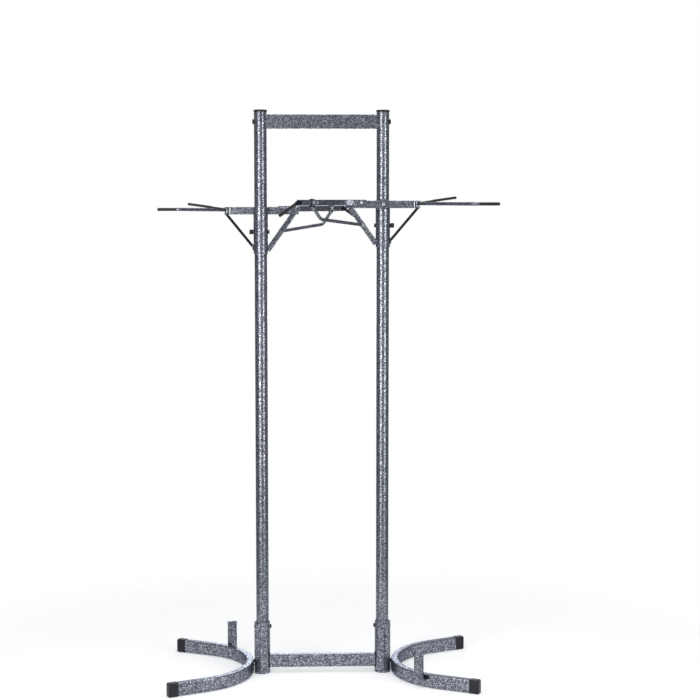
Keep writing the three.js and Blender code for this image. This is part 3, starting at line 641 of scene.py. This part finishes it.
def addSaddle(side):
    bore = socketRadius + gap
    outer = bore + saddleLook["wall"]
    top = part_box(f"foot_saddle_{side}")[1].z
    half = math.acos(saddleLook["start"] / outer)
    band = bmesh.new()
    corners = [band.verts.new((radius, 0, z)) for radius, z in
               ((bore, 0), (outer, 0), (outer, top), (bore, top))]
    face = band.faces.new(corners)
    moved(band, Matrix.Rotation(-half, 4, "Z"))
    bmesh.ops.spin(band, geom=[face], cent=(0, 0, 0), axis=(0, 0, 1), dvec=(0, 0, 0),
                   angle=2 * half, steps=saddleLook["steps"])
    shoulder = saddleLook["shoulder"]
    reach = outer * math.sin(half) - shoulder
    for i in range(saddleLook["shoulderCuts"]):
        turn = math.pi / 2 * (i + 0.5) / saddleLook["shoulderCuts"]
        for way in (1, -1):
            out = Vector((0, way * math.cos(turn), math.sin(turn)))
            trimmed(band, Vector((0, way * reach, top - shoulder)) + out * shoulder, out)
    softened(freshNormals(band), saddleLook["edge"], 1, 50)
    # the foot's outer face falls back from the web's edges, so the web runs a little into it
    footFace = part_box("foot_right")[0].x - postX
    bottom, high = saddleLook["webLow"], saddleLook["webHigh"]
    depth = footFace + saddleLook["webSink"] - bore
    web = block(depth, saddleLook["webWidth"], high - bottom, saddleLook["webEdge"])
    shifted(web, bore + depth / 2, 0, (bottom + high) / 2)
    solids = [band, web]
    bead = saddleLook["bead"]
    webHalf = saddleLook["webWidth"] / 2
    near = math.sqrt(outer ** 2 - webHalf ** 2)
    for y in (webHalf, -webHalf):
        for x in (near, footFace + saddleLook["beadSink"]):
            solids.append(weldBead([(x, y, bottom), (x, y, high)], bead))
        solids.append(weldBead([(near, y, high), (footFace, y * 0.9, high)], bead))
    solids.append(weldBead([(near, -webHalf, high), (outer, 0, high), (near, webHalf, high)], bead))
    solids.append(weldBead([(footFace, -webHalf, high), (footFace, webHalf, high)], bead))
    setFramePiece("foot_saddle", side, solids)


crossbarLook = {"corner": 3 * mm, "bead": 1.6 * mm, "seam": 0.1 * mm}


def addCrossbar(name, tubeRadius, welded):
    size = span(name)
    z = middle(name).z
    half = postX - math.sqrt(tubeRadius ** 2 - (size.y / 2) ** 2) - crossbarLook["seam"]
    draw = barOutline(size.y, size.z, crossbarLook["corner"])
    solids = [bentBar(draw, [(-half, 0, z), (half, 0, z)])]
    for way in (1, -1) if welded else ():
        y, rise = size.y / 2, size.z / 2
        across = [y * j / 3 for j in range(-3, 4)]
        ring = [(v, rise) for v in across] + [(v, -rise) for v in reversed(across)]
        points = [(way * (postX - math.sqrt(tubeRadius ** 2 - v ** 2)), v, z + w) for v, w in ring]
        solids.append(weldBead(points + points[:1], crossbarLook["bead"]))
    piece(f"{name}_look", solids, "hammertone_paint", "frame", [name])


for side in sides:
    addSocket(side)
    addSaddle(side)
addCrossbar("bottom_crossbar", socketRadius, True)
addCrossbar("top_crossbar", postRadius, False)
print("sockets, saddles and crossbars are made")


# feet, their end caps and the wheel stops

footLook = {"bend": 204 * mm, "flare": math.radians(26), "corner": 3 * mm, "steps": 64}


def footLine():
    # the middle of the foot's tube, from the right-hand post's axis
    low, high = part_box("foot_right")
    depth = span("bottom_crossbar").y
    flare = footLook["flare"]
    radius = footLook["bend"] - depth / 2
    centreX = low.x - postX + footLook["bend"]
    bendX = centreX - radius * math.sin(flare)
    bendY = radius * math.cos(flare)
    tipX = high.x - postX - depth / 2 * math.sin(flare)
    tipY = bendY + (tipX - bendX) * math.tan(flare)
    z = (low.z + high.z) / 2
    return {"centreX": centreX, "radius": radius, "depth": depth, "height": high.z - low.z,
            "corner": Vector((bendX - bendY / math.tan(flare), 0, z)),
            "front": Vector((tipX, -tipY, z)), "rear": Vector((tipX, tipY, z))}


def addFoot(side):
    line = footLine()
    draw = barOutline(line["depth"], line["height"], footLook["corner"])
    tube = bentBar(draw, [line["front"], line["corner"], line["rear"]], line["radius"],
                   footLook["steps"])
    setFramePiece("foot", side, [tube])


footCapLook = {"wall": 0.9 * mm, "end": 2.5 * mm, "length": 26 * mm, "corner": 4.6 * mm,
               "round": 3.6 * mm, "lip": 0.3 * mm, "rim": 0.6}


def addFootCap(side, end):
    # the left-hand half is turned half round, so its front is the other leg
    leg = end if side == "right" else {"front": "rear", "rear": "front"}[end]
    line = footLine()
    grow = 2 * (gap + footCapLook["wall"])
    length = footCapLook["length"]
    cap = bmesh.new()
    barOutline(line["depth"] + grow, line["height"] + grow, footCapLook["corner"], 6)(cap)
    shifted(cap, 0, 0, -length)
    pushed(cap, cap.faces[:][0], (0, 0, length))
    freshNormals(cap)
    softened(cap, footCapLook["round"], 6, 60, lambda edge: min(v.co.z for v in edge.verts) > -mm)
    softened(cap, footCapLook["lip"], 2, 60,
             lambda edge: max(v.co.z for v in edge.verts) < mm - length)
    mouth = min(cap.faces, key=lambda face: (round(face.calc_center_median().z, 6),
                                             -face.calc_area()))
    bmesh.ops.inset_region(cap, faces=[mouth], thickness=footCapLook["rim"] * footCapLook["wall"],
                           use_even_offset=True)
    pushed(cap, mouth, (0, 0, length - footCapLook["end"]))
    freshNormals(cap)
    direction = (line[leg] - line["corner"]).normalized()
    root = line[leg] + direction * (footCapLook["end"] + gap)
    moved(cap, halfPlace(side) @ pointing(root, direction))
    piece(f"foot_cap_look_{side}_{end}", [cap], "black_plastic", "frame",
          [f"foot_cap_{side}_{end}"])


stopLook = {"width": 24.5 * mm, "thickness": 12 * mm, "corner": 2 * mm, "edge": 0.9 * mm,
            "turn": math.radians(48.5), "facing": math.radians(29), "bite": 2 * mm,
            # in mm: place and size of each bead; place, size and depth of each pass
            "beads": ((2.3, 2.0), (6.2, 2.6)), "beadShort": 1.5 * mm, "lump": (8 * mm, 2 * mm),
            "lumpLift": 2 * mm, "lumpSize": 3 * mm,
            "passes": ((7, 2.8, 14), (13, 3.8, 13), (18, 3.6, 12), (23, 2.8, 10))}


def addWheelStop(side):
    line = footLine()
    low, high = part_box(f"wheel_stop_{side}")
    face = line["radius"] + line["depth"] / 2 - stopLook["bite"]
    corner = Vector((line["centreX"] - face * math.cos(stopLook["turn"]),
                     -face * math.sin(stopLook["turn"]), low.z))
    bar = bmesh.new()
    barOutline(stopLook["width"], stopLook["thickness"], stopLook["corner"])(bar)
    pushed(bar, bar.faces[:][0], (0, 0, high.z - low.z))
    softened(freshNormals(bar), stopLook["edge"], 2, 60)
    shifted(bar, -stopLook["width"] / 2, -stopLook["thickness"] / 2, 0)
    solids = [bar]
    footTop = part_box("foot_right")[1].z
    top = footTop - low.z - stopLook["beadShort"]
    (alongBack, backSize), (alongEnd, endSize) = stopLook["beads"]
    solids.append(weldBead([(-alongBack * mm, 0, 0), (-alongBack * mm, 0, top)], backSize * mm))
    solids.append(weldBead([(0, -alongEnd * mm, 0), (0, -alongEnd * mm, top)], endSize * mm))
    # a lump on its broad face just above the foot
    lift = footTop - low.z + stopLook["lumpLift"]
    solids.append(weldBead([(-x, 0, lift) for x in stopLook["lump"]], stopLook["lumpSize"]))
    turn = Matrix.Translation(corner) @ Matrix.Rotation(stopLook["facing"], 4, "Z")
    for solid in solids:
        moved(solid, turn)
    # passes that fill the wedge between its end face and the foot, partly weld and partly a dark
    # bulk that stands for the shade in the wedge
    radius = line["radius"] + line["depth"] / 2
    lid = footTop - mm
    for along, size, depth in stopLook["passes"]:
        angle = stopLook["turn"] + along * mm / radius
        x, y = line["centreX"] - radius * math.cos(angle), -radius * math.sin(angle)
        solids.append(weldBead([(x, y, lid - depth * mm), (x, y, lid)], size * mm))
    setFramePiece("wheel_stop", side, solids)


for side in sides:
    addFoot(side)
    addFootCap(side, "front")
    addFootCap(side, "rear")
    addWheelStop(side)
print("feet are made")


# bolts and screws

headLook = {"flat": 0.62, "side": 0.3, "edge": 0.3 * mm, "steps": 36, "arc": 6, "inset": 0.12,
            "key": 0.44, "keyDepth": 0.55}


def domedHead(radius, dome, shank, length):
    # a button head along +Z with a hexagon recess, its seat at zero
    flat, edge = radius * headLook["flat"], headLook["edge"]
    straight = headLook["side"]
    arc = [math.pi / 2 * i / headLook["arc"] for i in range(1, headLook["arc"])]
    profile = [(0, -length), (shank, -length), (shank, 0), (radius - edge, 0), (radius, edge),
               (radius, dome * straight)]
    profile += [(flat + (radius - flat) * math.cos(turn),
                 dome * (straight + (1 - straight) * math.sin(turn))) for turn in arc]
    head = turned(profile + [(flat, dome)], headLook["steps"])
    bmesh.ops.holes_fill(head, edges=head.edges, sides=0)
    face = max(head.faces, key=lambda face: face.calc_center_median().z)
    bmesh.ops.inset_region(head, faces=[face], thickness=flat * headLook["inset"])
    for vert in face.verts:
        turn = math.atan2(vert.co.y, vert.co.x)
        off = (turn + math.pi / 6) % (math.pi / 3) - math.pi / 6
        size = radius * headLook["key"] / math.cos(off)
        vert.co = (size * math.cos(turn), size * math.sin(turn), vert.co.z)
    pushed(head, face, (0, 0, -dome * headLook["keyDepth"]))
    return freshNormals(head)


def hexBody(radius, length, edge):
    # a hexagon along +Z with its end corners turned off
    body = bmesh.new()
    bmesh.ops.create_circle(body, cap_ends=True, segments=6, radius=radius)
    pushed(body, body.faces[:][0], (0, 0, length))
    return softened(freshNormals(body), edge, 2, 70)


boltLook = {
    "socket": {"head": 5.8 * mm, "dome": 3.6 * mm, "shank": 3 * mm, "aim": -1},
    "foot": {"head": 7 * mm, "dome": 4.5 * mm, "shank": 4 * mm, "aim": 1},
    "top": {"head": 7 * mm, "dome": 4 * mm, "shank": 4 * mm, "aim": 1},
}


def addFrameBolts(side):
    for name, look in boltLook.items():
        node = f"{name}_bolt_{side}"
        ends = sorted(abs(end.x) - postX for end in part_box(node))
        seat = ends[1] - look["dome"] if look["aim"] > 0 else ends[0] + look["dome"]
        length = ends[1] - ends[0] - look["dome"]
        head = domedHead(look["head"], look["dome"], look["shank"], length)
        aimed(head, (seat, 0, middle(node).z), (look["aim"], 0, 0))
        piece(f"{node}_look", [moved(head, halfPlace(side))], "black_steel", "frame", [node])


for side in sides:
    addFrameBolts(side)
print("frame bolts are made")


# cradle: sleeve, crosspiece and clamp

cradleLook = {"sleeveEdge": 0.6 * mm, "wall": 2 * mm, "corner": 2 * mm, "clevis": 18 * mm,
              "cheekRound": 3.5 * mm, "cheekEdge": 0.4 * mm, "cheekLap": 1 * mm,
              "cheekIn": 0.2 * mm, "beadUp": (0.4 * mm, 0.8), "beadIn": 0.3 * mm,
              "pintleInset": 9 * mm, "pintle": 3 * mm, "bead": 1.5 * mm, "beadReach": 9 * mm,
              "beadSide": 7.5 * mm}
sleeveRadius = span("cradle_sleeve_right").x / 2
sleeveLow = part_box("cradle_sleeve_right")[0].z - cradleZ["right"]
crossEnd = crossSize.x / 2
crossUnder = -crossSize.z / 2
pintleX = crossEnd - cradleLook["pintleInset"]


def setCradlePiece(name, side, solids, finish="hammertone_paint", body="cradle", extra=False):
    for solid in solids:
        moved(solid, cradlePlace(side))
    nodes = [] if extra else [f"{name}_{side}"]
    piece(f"{name}_look_{side}", solids, finish, f"{body}_{side}", nodes)


def addSleeve(side):
    bore = postRadius + gap
    edge = cradleLook["sleeveEdge"]
    top = crossSize.z / 2
    outer, low = sleeveRadius, sleeveLow
    profile = [(bore, low), (outer - edge, low), (outer, low + edge), (outer, top - edge),
               (outer - edge, top), (bore, top)]
    setCradlePiece("cradle_sleeve", side, [turned(profile, postLook["sides"], closed=True)])


def addCrosspiece(side):
    depth, height = crossSize.y, crossSize.z
    wall = cradleLook["wall"]
    end = crossEnd - cradleLook["clevis"]
    tube = hollowBar(barOutline(depth, height, cradleLook["corner"]), wall, crossEnd + end)
    moved(tube, pointing((-crossEnd, crossY, 0), (1, 0, 0)))
    solids = [tube]
    cheekLength = cradleLook["clevis"] + cradleLook["cheekLap"]
    for way in (1, -1):
        cheek = block(cheekLength, depth - 2 * cradleLook["cheekIn"], wall)
        softened(cheek, cradleLook["cheekRound"], 4, 40,
                 lambda edge: min(v.co.x for v in edge.verts) > 0
                 and abs(edge.verts[0].co.z - edge.verts[1].co.z) > mm)
        softened(cheek, cradleLook["cheekEdge"], 1, 60)
        shifted(cheek, crossEnd - cheekLength / 2, crossY, way * (height - wall) / 2)
        solids.append(cheek)
    # beads where it meets the sleeve, above and below
    back = crossY + depth / 2
    bead = cradleLook["bead"]
    steps = [cradleLook["beadReach"] * j / 4 for j in range(-4, 5)]
    drop, share = cradleLook["beadUp"]
    for z, size in ((height / 2 - drop, share), (-height / 2, 1)):
        points = [(x, cradleLook["beadIn"] - math.sqrt(sleeveRadius ** 2 - x ** 2), z)
                  for x in steps]
        solids.append(weldBead(points, bead * size))
    for x in (cradleLook["beadSide"], -cradleLook["beadSide"]):
        solids.append(weldBead([(x, back, crossUnder), (x, back, -crossUnder)], bead))
    setCradlePiece("cradle_crosspiece", side, solids)


plugLook = {"length": 10 * mm, "edge": 0.6 * mm, "rim": 1.8 * mm, "rimIn": 0.3 * mm,
            "rimEdge": 0.7 * mm}


def addCrosspiecePlug(side):
    depth, height = crossSize.y, crossSize.z
    bore = 2 * (cradleLook["wall"] + gap / 2)
    length, rimLength, inset = plugLook["length"], plugLook["rim"], 2 * plugLook["rimIn"]
    plug = block(length, depth - bore, height - bore, plugLook["edge"])
    shifted(plug, length / 2 - crossEnd, crossY, 0)
    rim = block(rimLength, depth - inset, height - inset, plugLook["rimEdge"], 3)
    shifted(rim, -crossEnd - gap / 2 - rimLength / 2, crossY, 0)
    setCradlePiece("crosspiece_plug", side, [plug, rim], "black_plastic", extra=True)


knobLook = {"radius": 6.4 * mm, "sides": 72, "lobes": 6, "depth": 0.09, "lobesFrom": 2.6 * mm,
            "lobesOut": 0.7, "shank": 3 * mm, "root": 3 * mm,
            # its width as a share of the radius, and the height in mm
            "shape": ((0.8, 0), (1, 0.9), (1, 2.4), (0.97, 2.9), (0.99, 4), (1, 8.7),
                      (0.96, 9.7), (0.85, 10.3), (0.72, 10.5), (0.55, 10.5), (0.5, 10), (0, 10))}
setScrewLook = {"radius": 5.4 * mm, "length": 4 * mm, "edge": 0.5 * mm, "lap": 1 * mm}
clampZ = middle("clamp_knob_right").z - cradleZ["right"]


def addClamp(side):
    radius, shank, root = knobLook["radius"], knobLook["shank"], knobLook["root"]
    seat = sleeveRadius + gap
    profile = [(0, -root), (shank, -root), (shank, 0)]
    profile += [(radius * share, height * mm) for share, height in knobLook["shape"]]
    knob = turned(profile, knobLook["sides"])
    for vert in knob.verts:
        out = vert.co.xy.length > radius * knobLook["lobesOut"]
        if out and vert.co.z > knobLook["lobesFrom"]:
            turn = math.atan2(vert.co.y, vert.co.x) * knobLook["lobes"]
            size = 1 - knobLook["depth"] * max(0, math.cos(turn)) ** 2
            vert.co.x *= size
            vert.co.y *= size
    aimed(knob, (seat, 0, clampZ), (1, 0, 0))
    setCradlePiece("clamp_knob", side, [knob], "black_plastic", "knob")
    head = hexBody(setScrewLook["radius"], setScrewLook["length"], setScrewLook["edge"])
    lap = setScrewLook["lap"]
    thread = turned([(0, -root), (shank, -root), (shank, lap), (0, lap)], 24)
    solids = [aimed(solid, (-seat, 0, clampZ), (-1, 0, 0)) for solid in (head, thread)]
    setCradlePiece("set_screw", side, solids, "black_steel")


for side in sides:
    addSleeve(side)
    addCrosspiece(side)
    addCrosspiecePlug(side)
    addClamp(side)
print("sleeves and crosspieces are made")


# gate arm with its coated finger and handle

gateLook = {"radius": 4.6 * mm, "barrel": 6.4 * mm, "barrelHeight": 15.4 * mm,
            "barrelEdge": 0.7 * mm, "reach": (221, -194, 2), "bend": 31 * mm, "edge": 0.5 * mm,
            "finger": (54, -4, 0), "trim": 14 * mm, "bead": 1.3 * mm, "beadIn": 0.2 * mm}
coatLook = {"radius": 4.4 * mm, "length": 54 * mm, "sides": 32, "shank": 3 * mm,
            "shankLength": 42 * mm, "shankEdge": 0.5 * mm, "hollow": 4 * mm,
            # its mouth: width as a share of the radius, and mm along it
            "mouth": ((0.82, 0), (0.93, 0.5), (0.97, 1.6), (0.98, 27))}
handleLook = {"radius": 3.5 * mm, "length": 100 * mm, "rise": math.radians(8),
              "lift": 4.2 * mm, "neck": 2.6 * mm, "shoulder": 38 * mm, "slope": 3 * mm,
              "grooves": 6, "first": 6 * mm, "step": 8 * mm, "groove": 1 * mm, "depth": 0.93,
              "sink": 0.5 * mm, "end": (0.3, 0.6, 0.9, 1.2, 1.4)}


def point(x, y, z):
    return Vector((x, y, z)) * mm


def coat():
    # dipped vinyl along +Z from its mouth, a little fuller at the tip
    radius, length = coatLook["radius"], coatLook["length"]
    bore, hollow = coatLook["shank"] + gap, coatLook["shankLength"] + coatLook["hollow"]
    end = [math.pi / 2 * i / 6 for i in range(1, 6)]
    profile = [(0, hollow), (bore, hollow), (bore, 0)]
    profile += [(radius * share, along * mm) for share, along in coatLook["mouth"]]
    profile.append((radius, length - radius))
    profile += [(radius * math.cos(turn), length - radius + radius * math.sin(turn))
                for turn in end]
    profile.append((0, length))
    return turned(profile, coatLook["sides"])


def shank(root, direction, length):
    radius, edge = coatLook["shank"], coatLook["shankEdge"]
    rod = turned([(0, 0), (radius, 0), (radius, length - edge), (radius - edge, length),
                  (0, length)], 24)
    return aimed(rod, root, direction)


def addGate(side):
    pintle = Vector((pintleX, crossY, 0))
    bend = point(*gateLook["reach"])
    root = pintle + up * bend.z
    finger = point(*gateLook["finger"]).normalized()
    elbow = bend + finger * gateLook["trim"]
    coatRoot = elbow + finger * 2 * gap
    rod = bentBar(roundOutline(gateLook["radius"]), [root, bend, coatRoot - finger * gap],
                  gateLook["bend"], 16)
    softened(rod, gateLook["edge"], 2, 60)
    barrelRadius, edge = gateLook["barrel"], gateLook["barrelEdge"]
    half, pinTop = gateLook["barrelHeight"] / 2, crossSize.z / 2
    barrel = roundBar(barrelRadius, -half, half, edge, 36)
    pin = roundBar(cradleLook["pintle"], -pinTop, pinTop, edge, 24)
    solids = [rod, moved(barrel, Matrix.Translation(pintle)),
              moved(pin, Matrix.Translation(pintle)),
              shank(elbow - finger * mm, finger, coatLook["shankLength"] + mm)]
    way = (bend - root).normalized()
    across = way.cross(up)
    size = gateLook["radius"] - gateLook["beadIn"]
    joint = []
    for turn in fullTurn():
        wide, tall = size * math.cos(turn), size * math.sin(turn)
        out = math.sqrt(barrelRadius ** 2 - wide ** 2)
        joint.append(root + way * out + across * wide + up * tall)
    solids.append(weldBead(joint, gateLook["bead"]))
    setCradlePiece("gate_arm", side, solids, body="gate")
    setCradlePiece("gate_tip", side, [aimed(coat(), coatRoot, finger)], "black_vinyl", "gate")


def addHandle(side):
    grip, length, slope = handleLook["radius"], handleLook["length"], handleLook["slope"]
    neck, shoulder, groove = handleLook["neck"], handleLook["shoulder"], handleLook["groove"]
    profile = [(0, 0), (neck, 0), (neck, shoulder - slope), (grip, shoulder)]
    for j in range(handleLook["grooves"]):
        z = shoulder + handleLook["first"] + handleLook["step"] * j
        profile += [(grip, z - groove), (grip * handleLook["depth"], z), (grip, z + groove)]
    profile.append((grip, length - grip))
    profile += [(grip * math.cos(t), length - grip + grip * math.sin(t))
                for t in handleLook["end"]]
    handle = turned(profile + [(0, length)], coatLook["sides"])
    rise = handleLook["rise"]
    root = Vector((pintleX + gateLook["barrel"] - handleLook["sink"], crossY, handleLook["lift"]))
    aimed(handle, root, (math.cos(rise), 0, math.sin(rise)))
    setCradlePiece("gate_handle", side, [handle], "black_vinyl", "gate")


for side in sides:
    addGate(side)
    addHandle(side)
print("gate arms are made")


# fixed arm, braces and strut

armLook = {"thickness": 5 * mm, "height": 15 * mm, "corner": 1.2 * mm, "bend": 71 * mm,
           "lap": 54 * mm, "lift": 5 * mm, "tip": (-228, -194, 5), "finger": (-46, -4, -33),
           "coatGap": 5.3 * mm, "upperRound": 7 * mm, "lowerRound": 3 * mm, "edge": 0.6 * mm,
           "elbow": 5.2 * mm, "elbowRoot": 12 * mm, "elbowShift": (-2.5, -1.5, 1.5),
           "elbowBend": 7 * mm, "elbowEdge": 0.7 * mm, "shankRoot": 2 * mm}
armY = crossY - crossSize.y / 2 - gap - armLook["thickness"] / 2
armPoints = [Vector((armLook["lap"] - crossEnd, armY, armLook["lift"])),
             Vector((-crossEnd, armY, armLook["lift"])), point(*armLook["tip"])]
armSlant = (armPoints[2] - armPoints[1]).normalized()
armOut = Vector((armSlant.y, -armSlant.x, 0))  # square to its slanting part, outwards


def addFixedArm(side):
    draw = barOutline(armLook["thickness"], armLook["height"], armLook["corner"], 3)
    bar = bentBar(draw, armPoints, armLook["bend"], 20)
    for size, way in ((armLook["upperRound"], 1), (armLook["lowerRound"], -1)):
        softened(bar, size, 6, 70, lambda edge: all(
            (vert.co - armPoints[2]).dot(armSlant) > -mm and way * (vert.co.z - armLook["lift"])
            > armLook["height"] / 2 - 0.2 * mm for vert in edge.verts))
    softened(bar, armLook["edge"], 2, 70)
    finger = point(*armLook["finger"]).normalized()
    tip = armPoints[2]
    root = tip + finger * armLook["coatGap"]
    line = [tip - armSlant * armLook["elbowRoot"], tip + point(*armLook["elbowShift"]),
            root - finger * gap]
    elbow = bentBar(roundOutline(armLook["elbow"]), line, armLook["elbowBend"], 12)
    softened(elbow, armLook["elbowEdge"], 2, 60)
    core = shank(tip - finger * armLook["shankRoot"], finger,
                 coatLook["shankLength"] + armLook["coatGap"])
    # the elbow gets the same painted shade as the welds
    solids = [bar, core, withPaintedShade(elbow)]
    setCradlePiece("fixed_arm", side, solids)
    setCradlePiece("fixed_tip", side, [aimed(coat(), root, finger)], "black_vinyl")


braceLook = {"rodRadius": 3.6 * mm, "rodTop": 95 * mm, "rodDrop": 97 * mm,
             "rodShort": 1.5 * mm, "foot": (3.5 * mm, 9 * mm, 15 * mm), "footEdge": 0.9 * mm,
             "footSink": 0.3 * mm, "footBead": 1.3 * mm, "barTop": -90 * mm, "barDrop": 104 * mm,
             "barLap": 1 * mm, "width": 14 * mm, "thickness": 7 * mm, "corner": 2 * mm,
             "ring": (4.2 * mm, 3.6 * mm), "ringDrop": 0.9 * mm, "barBeadDrop": 0.8 * mm,
             "bead": 1.2 * mm}


def braceLine(top, drop):
    # from inside the crosspiece to the side of the sleeve
    start = Vector((top, crossY, crossUnder / 2))
    return start, Vector((math.copysign(sleeveRadius, top), 0, -drop))


def belowCrosspiece(start, end):
    return start.lerp(end, (crossUnder + mm - start.z) / (end.z - start.z))


def addBraces(side):
    start, end = braceLine(braceLook["rodTop"], braceLook["rodDrop"])
    way = (end - start).normalized()
    start = belowCrosspiece(start, end)
    rod = bentBar(roundOutline(braceLook["rodRadius"]), [start, end - way * braceLook["rodShort"]])
    thicknessOrShade, wide, tall = braceLook["foot"]
    foot = block(thicknessOrShade, wide, tall, braceLook["footEdge"])
    shifted(foot, sleeveRadius + thicknessOrShade / 2 - braceLook["footSink"], 0, end.z)
    beads = [weldBead([(sleeveRadius, y, end.z - tall / 2), (sleeveRadius, y, end.z + tall / 2)],
                      braceLook["footBead"]) for y in (wide / 2, -wide / 2)]
    ring = oval(start - up * braceLook["ringDrop"], *braceLook["ring"])
    beads.append(weldBead(ring, braceLook["bead"]))
    # the rod gets painted shade: its paint is darkened to stand for the shade on it
    setCradlePiece("rod_brace", side, [withPaintedShade(rod), foot] + beads)

    start, end = braceLine(braceLook["barTop"], braceLook["barDrop"])
    way = (end - start).normalized()
    start = belowCrosspiece(start, end)
    through = Vector((0, 1, 0))
    across = way.cross(through).normalized()
    draw = barOutline(braceLook["width"], braceLook["thickness"], braceLook["corner"], 4)
    bar = bentBar(draw, [start, end + way * braceLook["barLap"]], sideWay=across)
    half, drop = braceLook["width"] / 2, braceLook["barBeadDrop"]
    beads = []
    for y in (-braceLook["thickness"] / 2, braceLook["thickness"] / 2):
        line = [start + Vector((x, y, -drop)) for x in (-half, half)]
        beads.append(weldBead(line, braceLook["bead"]))
    setCradlePiece("bar_brace", side, [bar] + beads)


strutLook = {"radius": 4.4 * mm, "share": 0.71, "elbowIn": 23 * mm, "elbowDrop": 43 * mm,
             "braceShare": 0.5, "bend": 22 * mm, "ring": 10 * mm, "ringWall": 2.6 * mm,
             "ringCorner": 2.4 * mm, "ringEdge": 0.5 * mm, "rootIn": 1 * mm, "eye": 7.5 * mm,
             "eyeThickness": 4 * mm, "eyeEdge": 0.6 * mm, "eyeReach": 12 * mm, "lead": 5 * mm,
             "leadDrop": 0.2 * mm, "bead": 1.2 * mm}
screwLook = {"head": 4.6 * mm, "dome": 2.6 * mm, "shank": 2.4 * mm, "inset": 13 * mm,
             # how long each shank is
             "crosspiece_screw": 12 * mm, "arm_screw": 9 * mm, "strut_screw": 2 * mm,
             "brace_screw": 8 * mm}


def strutPoints():
    ring = armPoints[1].lerp(armPoints[2], strutLook["share"])
    top, bottom = braceLine(braceLook["barTop"], braceLook["barDrop"])
    onBrace = top.lerp(bottom, strutLook["braceShare"])
    eye = onBrace.copy()
    eye.y -= braceLook["thickness"] / 2 + gap + strutLook["eyeThickness"] / 2
    share = strutLook["elbowIn"] / (eye.x - ring.x)
    elbow = Vector((ring.x + strutLook["elbowIn"], ring.y + share * (eye.y - ring.y),
                    ring.z - strutLook["elbowDrop"]))
    return ring, elbow, eye


def addStrut(side):
    ring, elbow, eye = strutPoints()
    wall = strutLook["ringWall"]
    width = armLook["thickness"] + 2 * wall
    height = armLook["height"] + 2 * wall
    draw = barOutline(width, height, strutLook["ringCorner"], 4)
    collar = hollowBar(draw, wall - gap, strutLook["ring"])
    softened(collar, strutLook["ringEdge"], 2, 70)
    moved(collar, pointing(ring - armSlant * strutLook["ring"] / 2, armSlant))
    foot = ring - up * (armLook["height"] / 2 + gap + strutLook["rootIn"])
    rod = bentBar(roundOutline(strutLook["radius"]), [foot, elbow, eye], strutLook["bend"], 18,
                  sideWay=Vector((0, 1, 0)))
    thicknessOrShade = strutLook["eyeThickness"]
    for way in (-1, 1):
        out = Vector((0, way, 0))
        trimmed(rod, eye + out * thicknessOrShade / 2, out, near=(eye, strutLook["eyeReach"]))
    disc = roundBar(strutLook["eye"], 0, thicknessOrShade, strutLook["eyeEdge"], 36)
    aimed(disc, eye + Vector((0, thicknessOrShade / 2, 0)), (0, -1, 0))
    under = ring - up * (armLook["height"] / 2 + wall + strutLook["leadDrop"])
    lead = weldBead(oval(under, strutLook["lead"], strutLook["lead"]), strutLook["bead"])
    setCradlePiece("strut", side, [collar, rod, disc, lead])


nutLook = {"radius": 4.6 * mm, "height": 3.2 * mm, "edge": 0.6 * mm, "end": 2.4 * mm,
           "endHeight": 4.2 * mm, "endRound": (0.5 * mm, 0.6 * mm), "root": 1 * mm}
rivetLook = {"radius": 3.2 * mm, "dome": 1.8 * mm, "shank": 1.6 * mm, "length": 2 * mm,
             "off": 20 * mm}


def addScrews(side):
    ring, _, eye = strutPoints()
    forward = Vector((0, -1, 0))
    half = armLook["thickness"] / 2
    onArm = Vector((armPoints[0].x - screwLook["inset"], armY, armLook["lift"]))
    places = {
        "crosspiece_screw": (Vector((0, crossY, 0)), forward, crossSize.y / 2),
        "arm_screw": (onArm, forward, half),
        "strut_screw": (ring, armOut, half + strutLook["ringWall"]),
        "brace_screw": (eye, forward, strutLook["eyeThickness"] / 2),
    }
    for name, (centre, way, depth) in places.items():
        head = domedHead(screwLook["head"], screwLook["dome"], screwLook["shank"],
                         screwLook[name])
        root = centre + way * (depth + gap)
        setCradlePiece(name, side, [aimed(head, root, way)], "zinc_steel")


def addNutAndRivet(side):
    # on the ring's other side a nut with the screw's end in it, and a rivet beside the ring
    ring = strutPoints()[0]
    face = ring - armOut * (armLook["thickness"] / 2 + strutLook["ringWall"] + gap / 2)
    radius, top, root = nutLook["end"], nutLook["endHeight"], nutLook["root"]
    inward, down = nutLook["endRound"]
    end = turned([(0, -root), (radius, -root), (radius, top - down), (radius - inward, top),
                  (0, top)], 20)
    nut = hexBody(nutLook["radius"], nutLook["height"], nutLook["edge"])
    solids = [aimed(solid, face, -armOut) for solid in (nut, end)]
    setCradlePiece("strut_nut", side, solids, "zinc_steel", extra=True)
    face = ring - armSlant * rivetLook["off"] - armOut * (armLook["thickness"] / 2)
    rivet = domedHead(rivetLook["radius"], rivetLook["dome"], rivetLook["shank"],
                      rivetLook["length"])
    setCradlePiece("arm_rivet", side, [aimed(rivet, face, -armOut)], "zinc_steel", extra=True)


for side in sides:
    addFixedArm(side)
    addBraces(side)
    addStrut(side)
    addScrews(side)
    addNutAndRivet(side)
print("fixed arms, braces and screws are made")
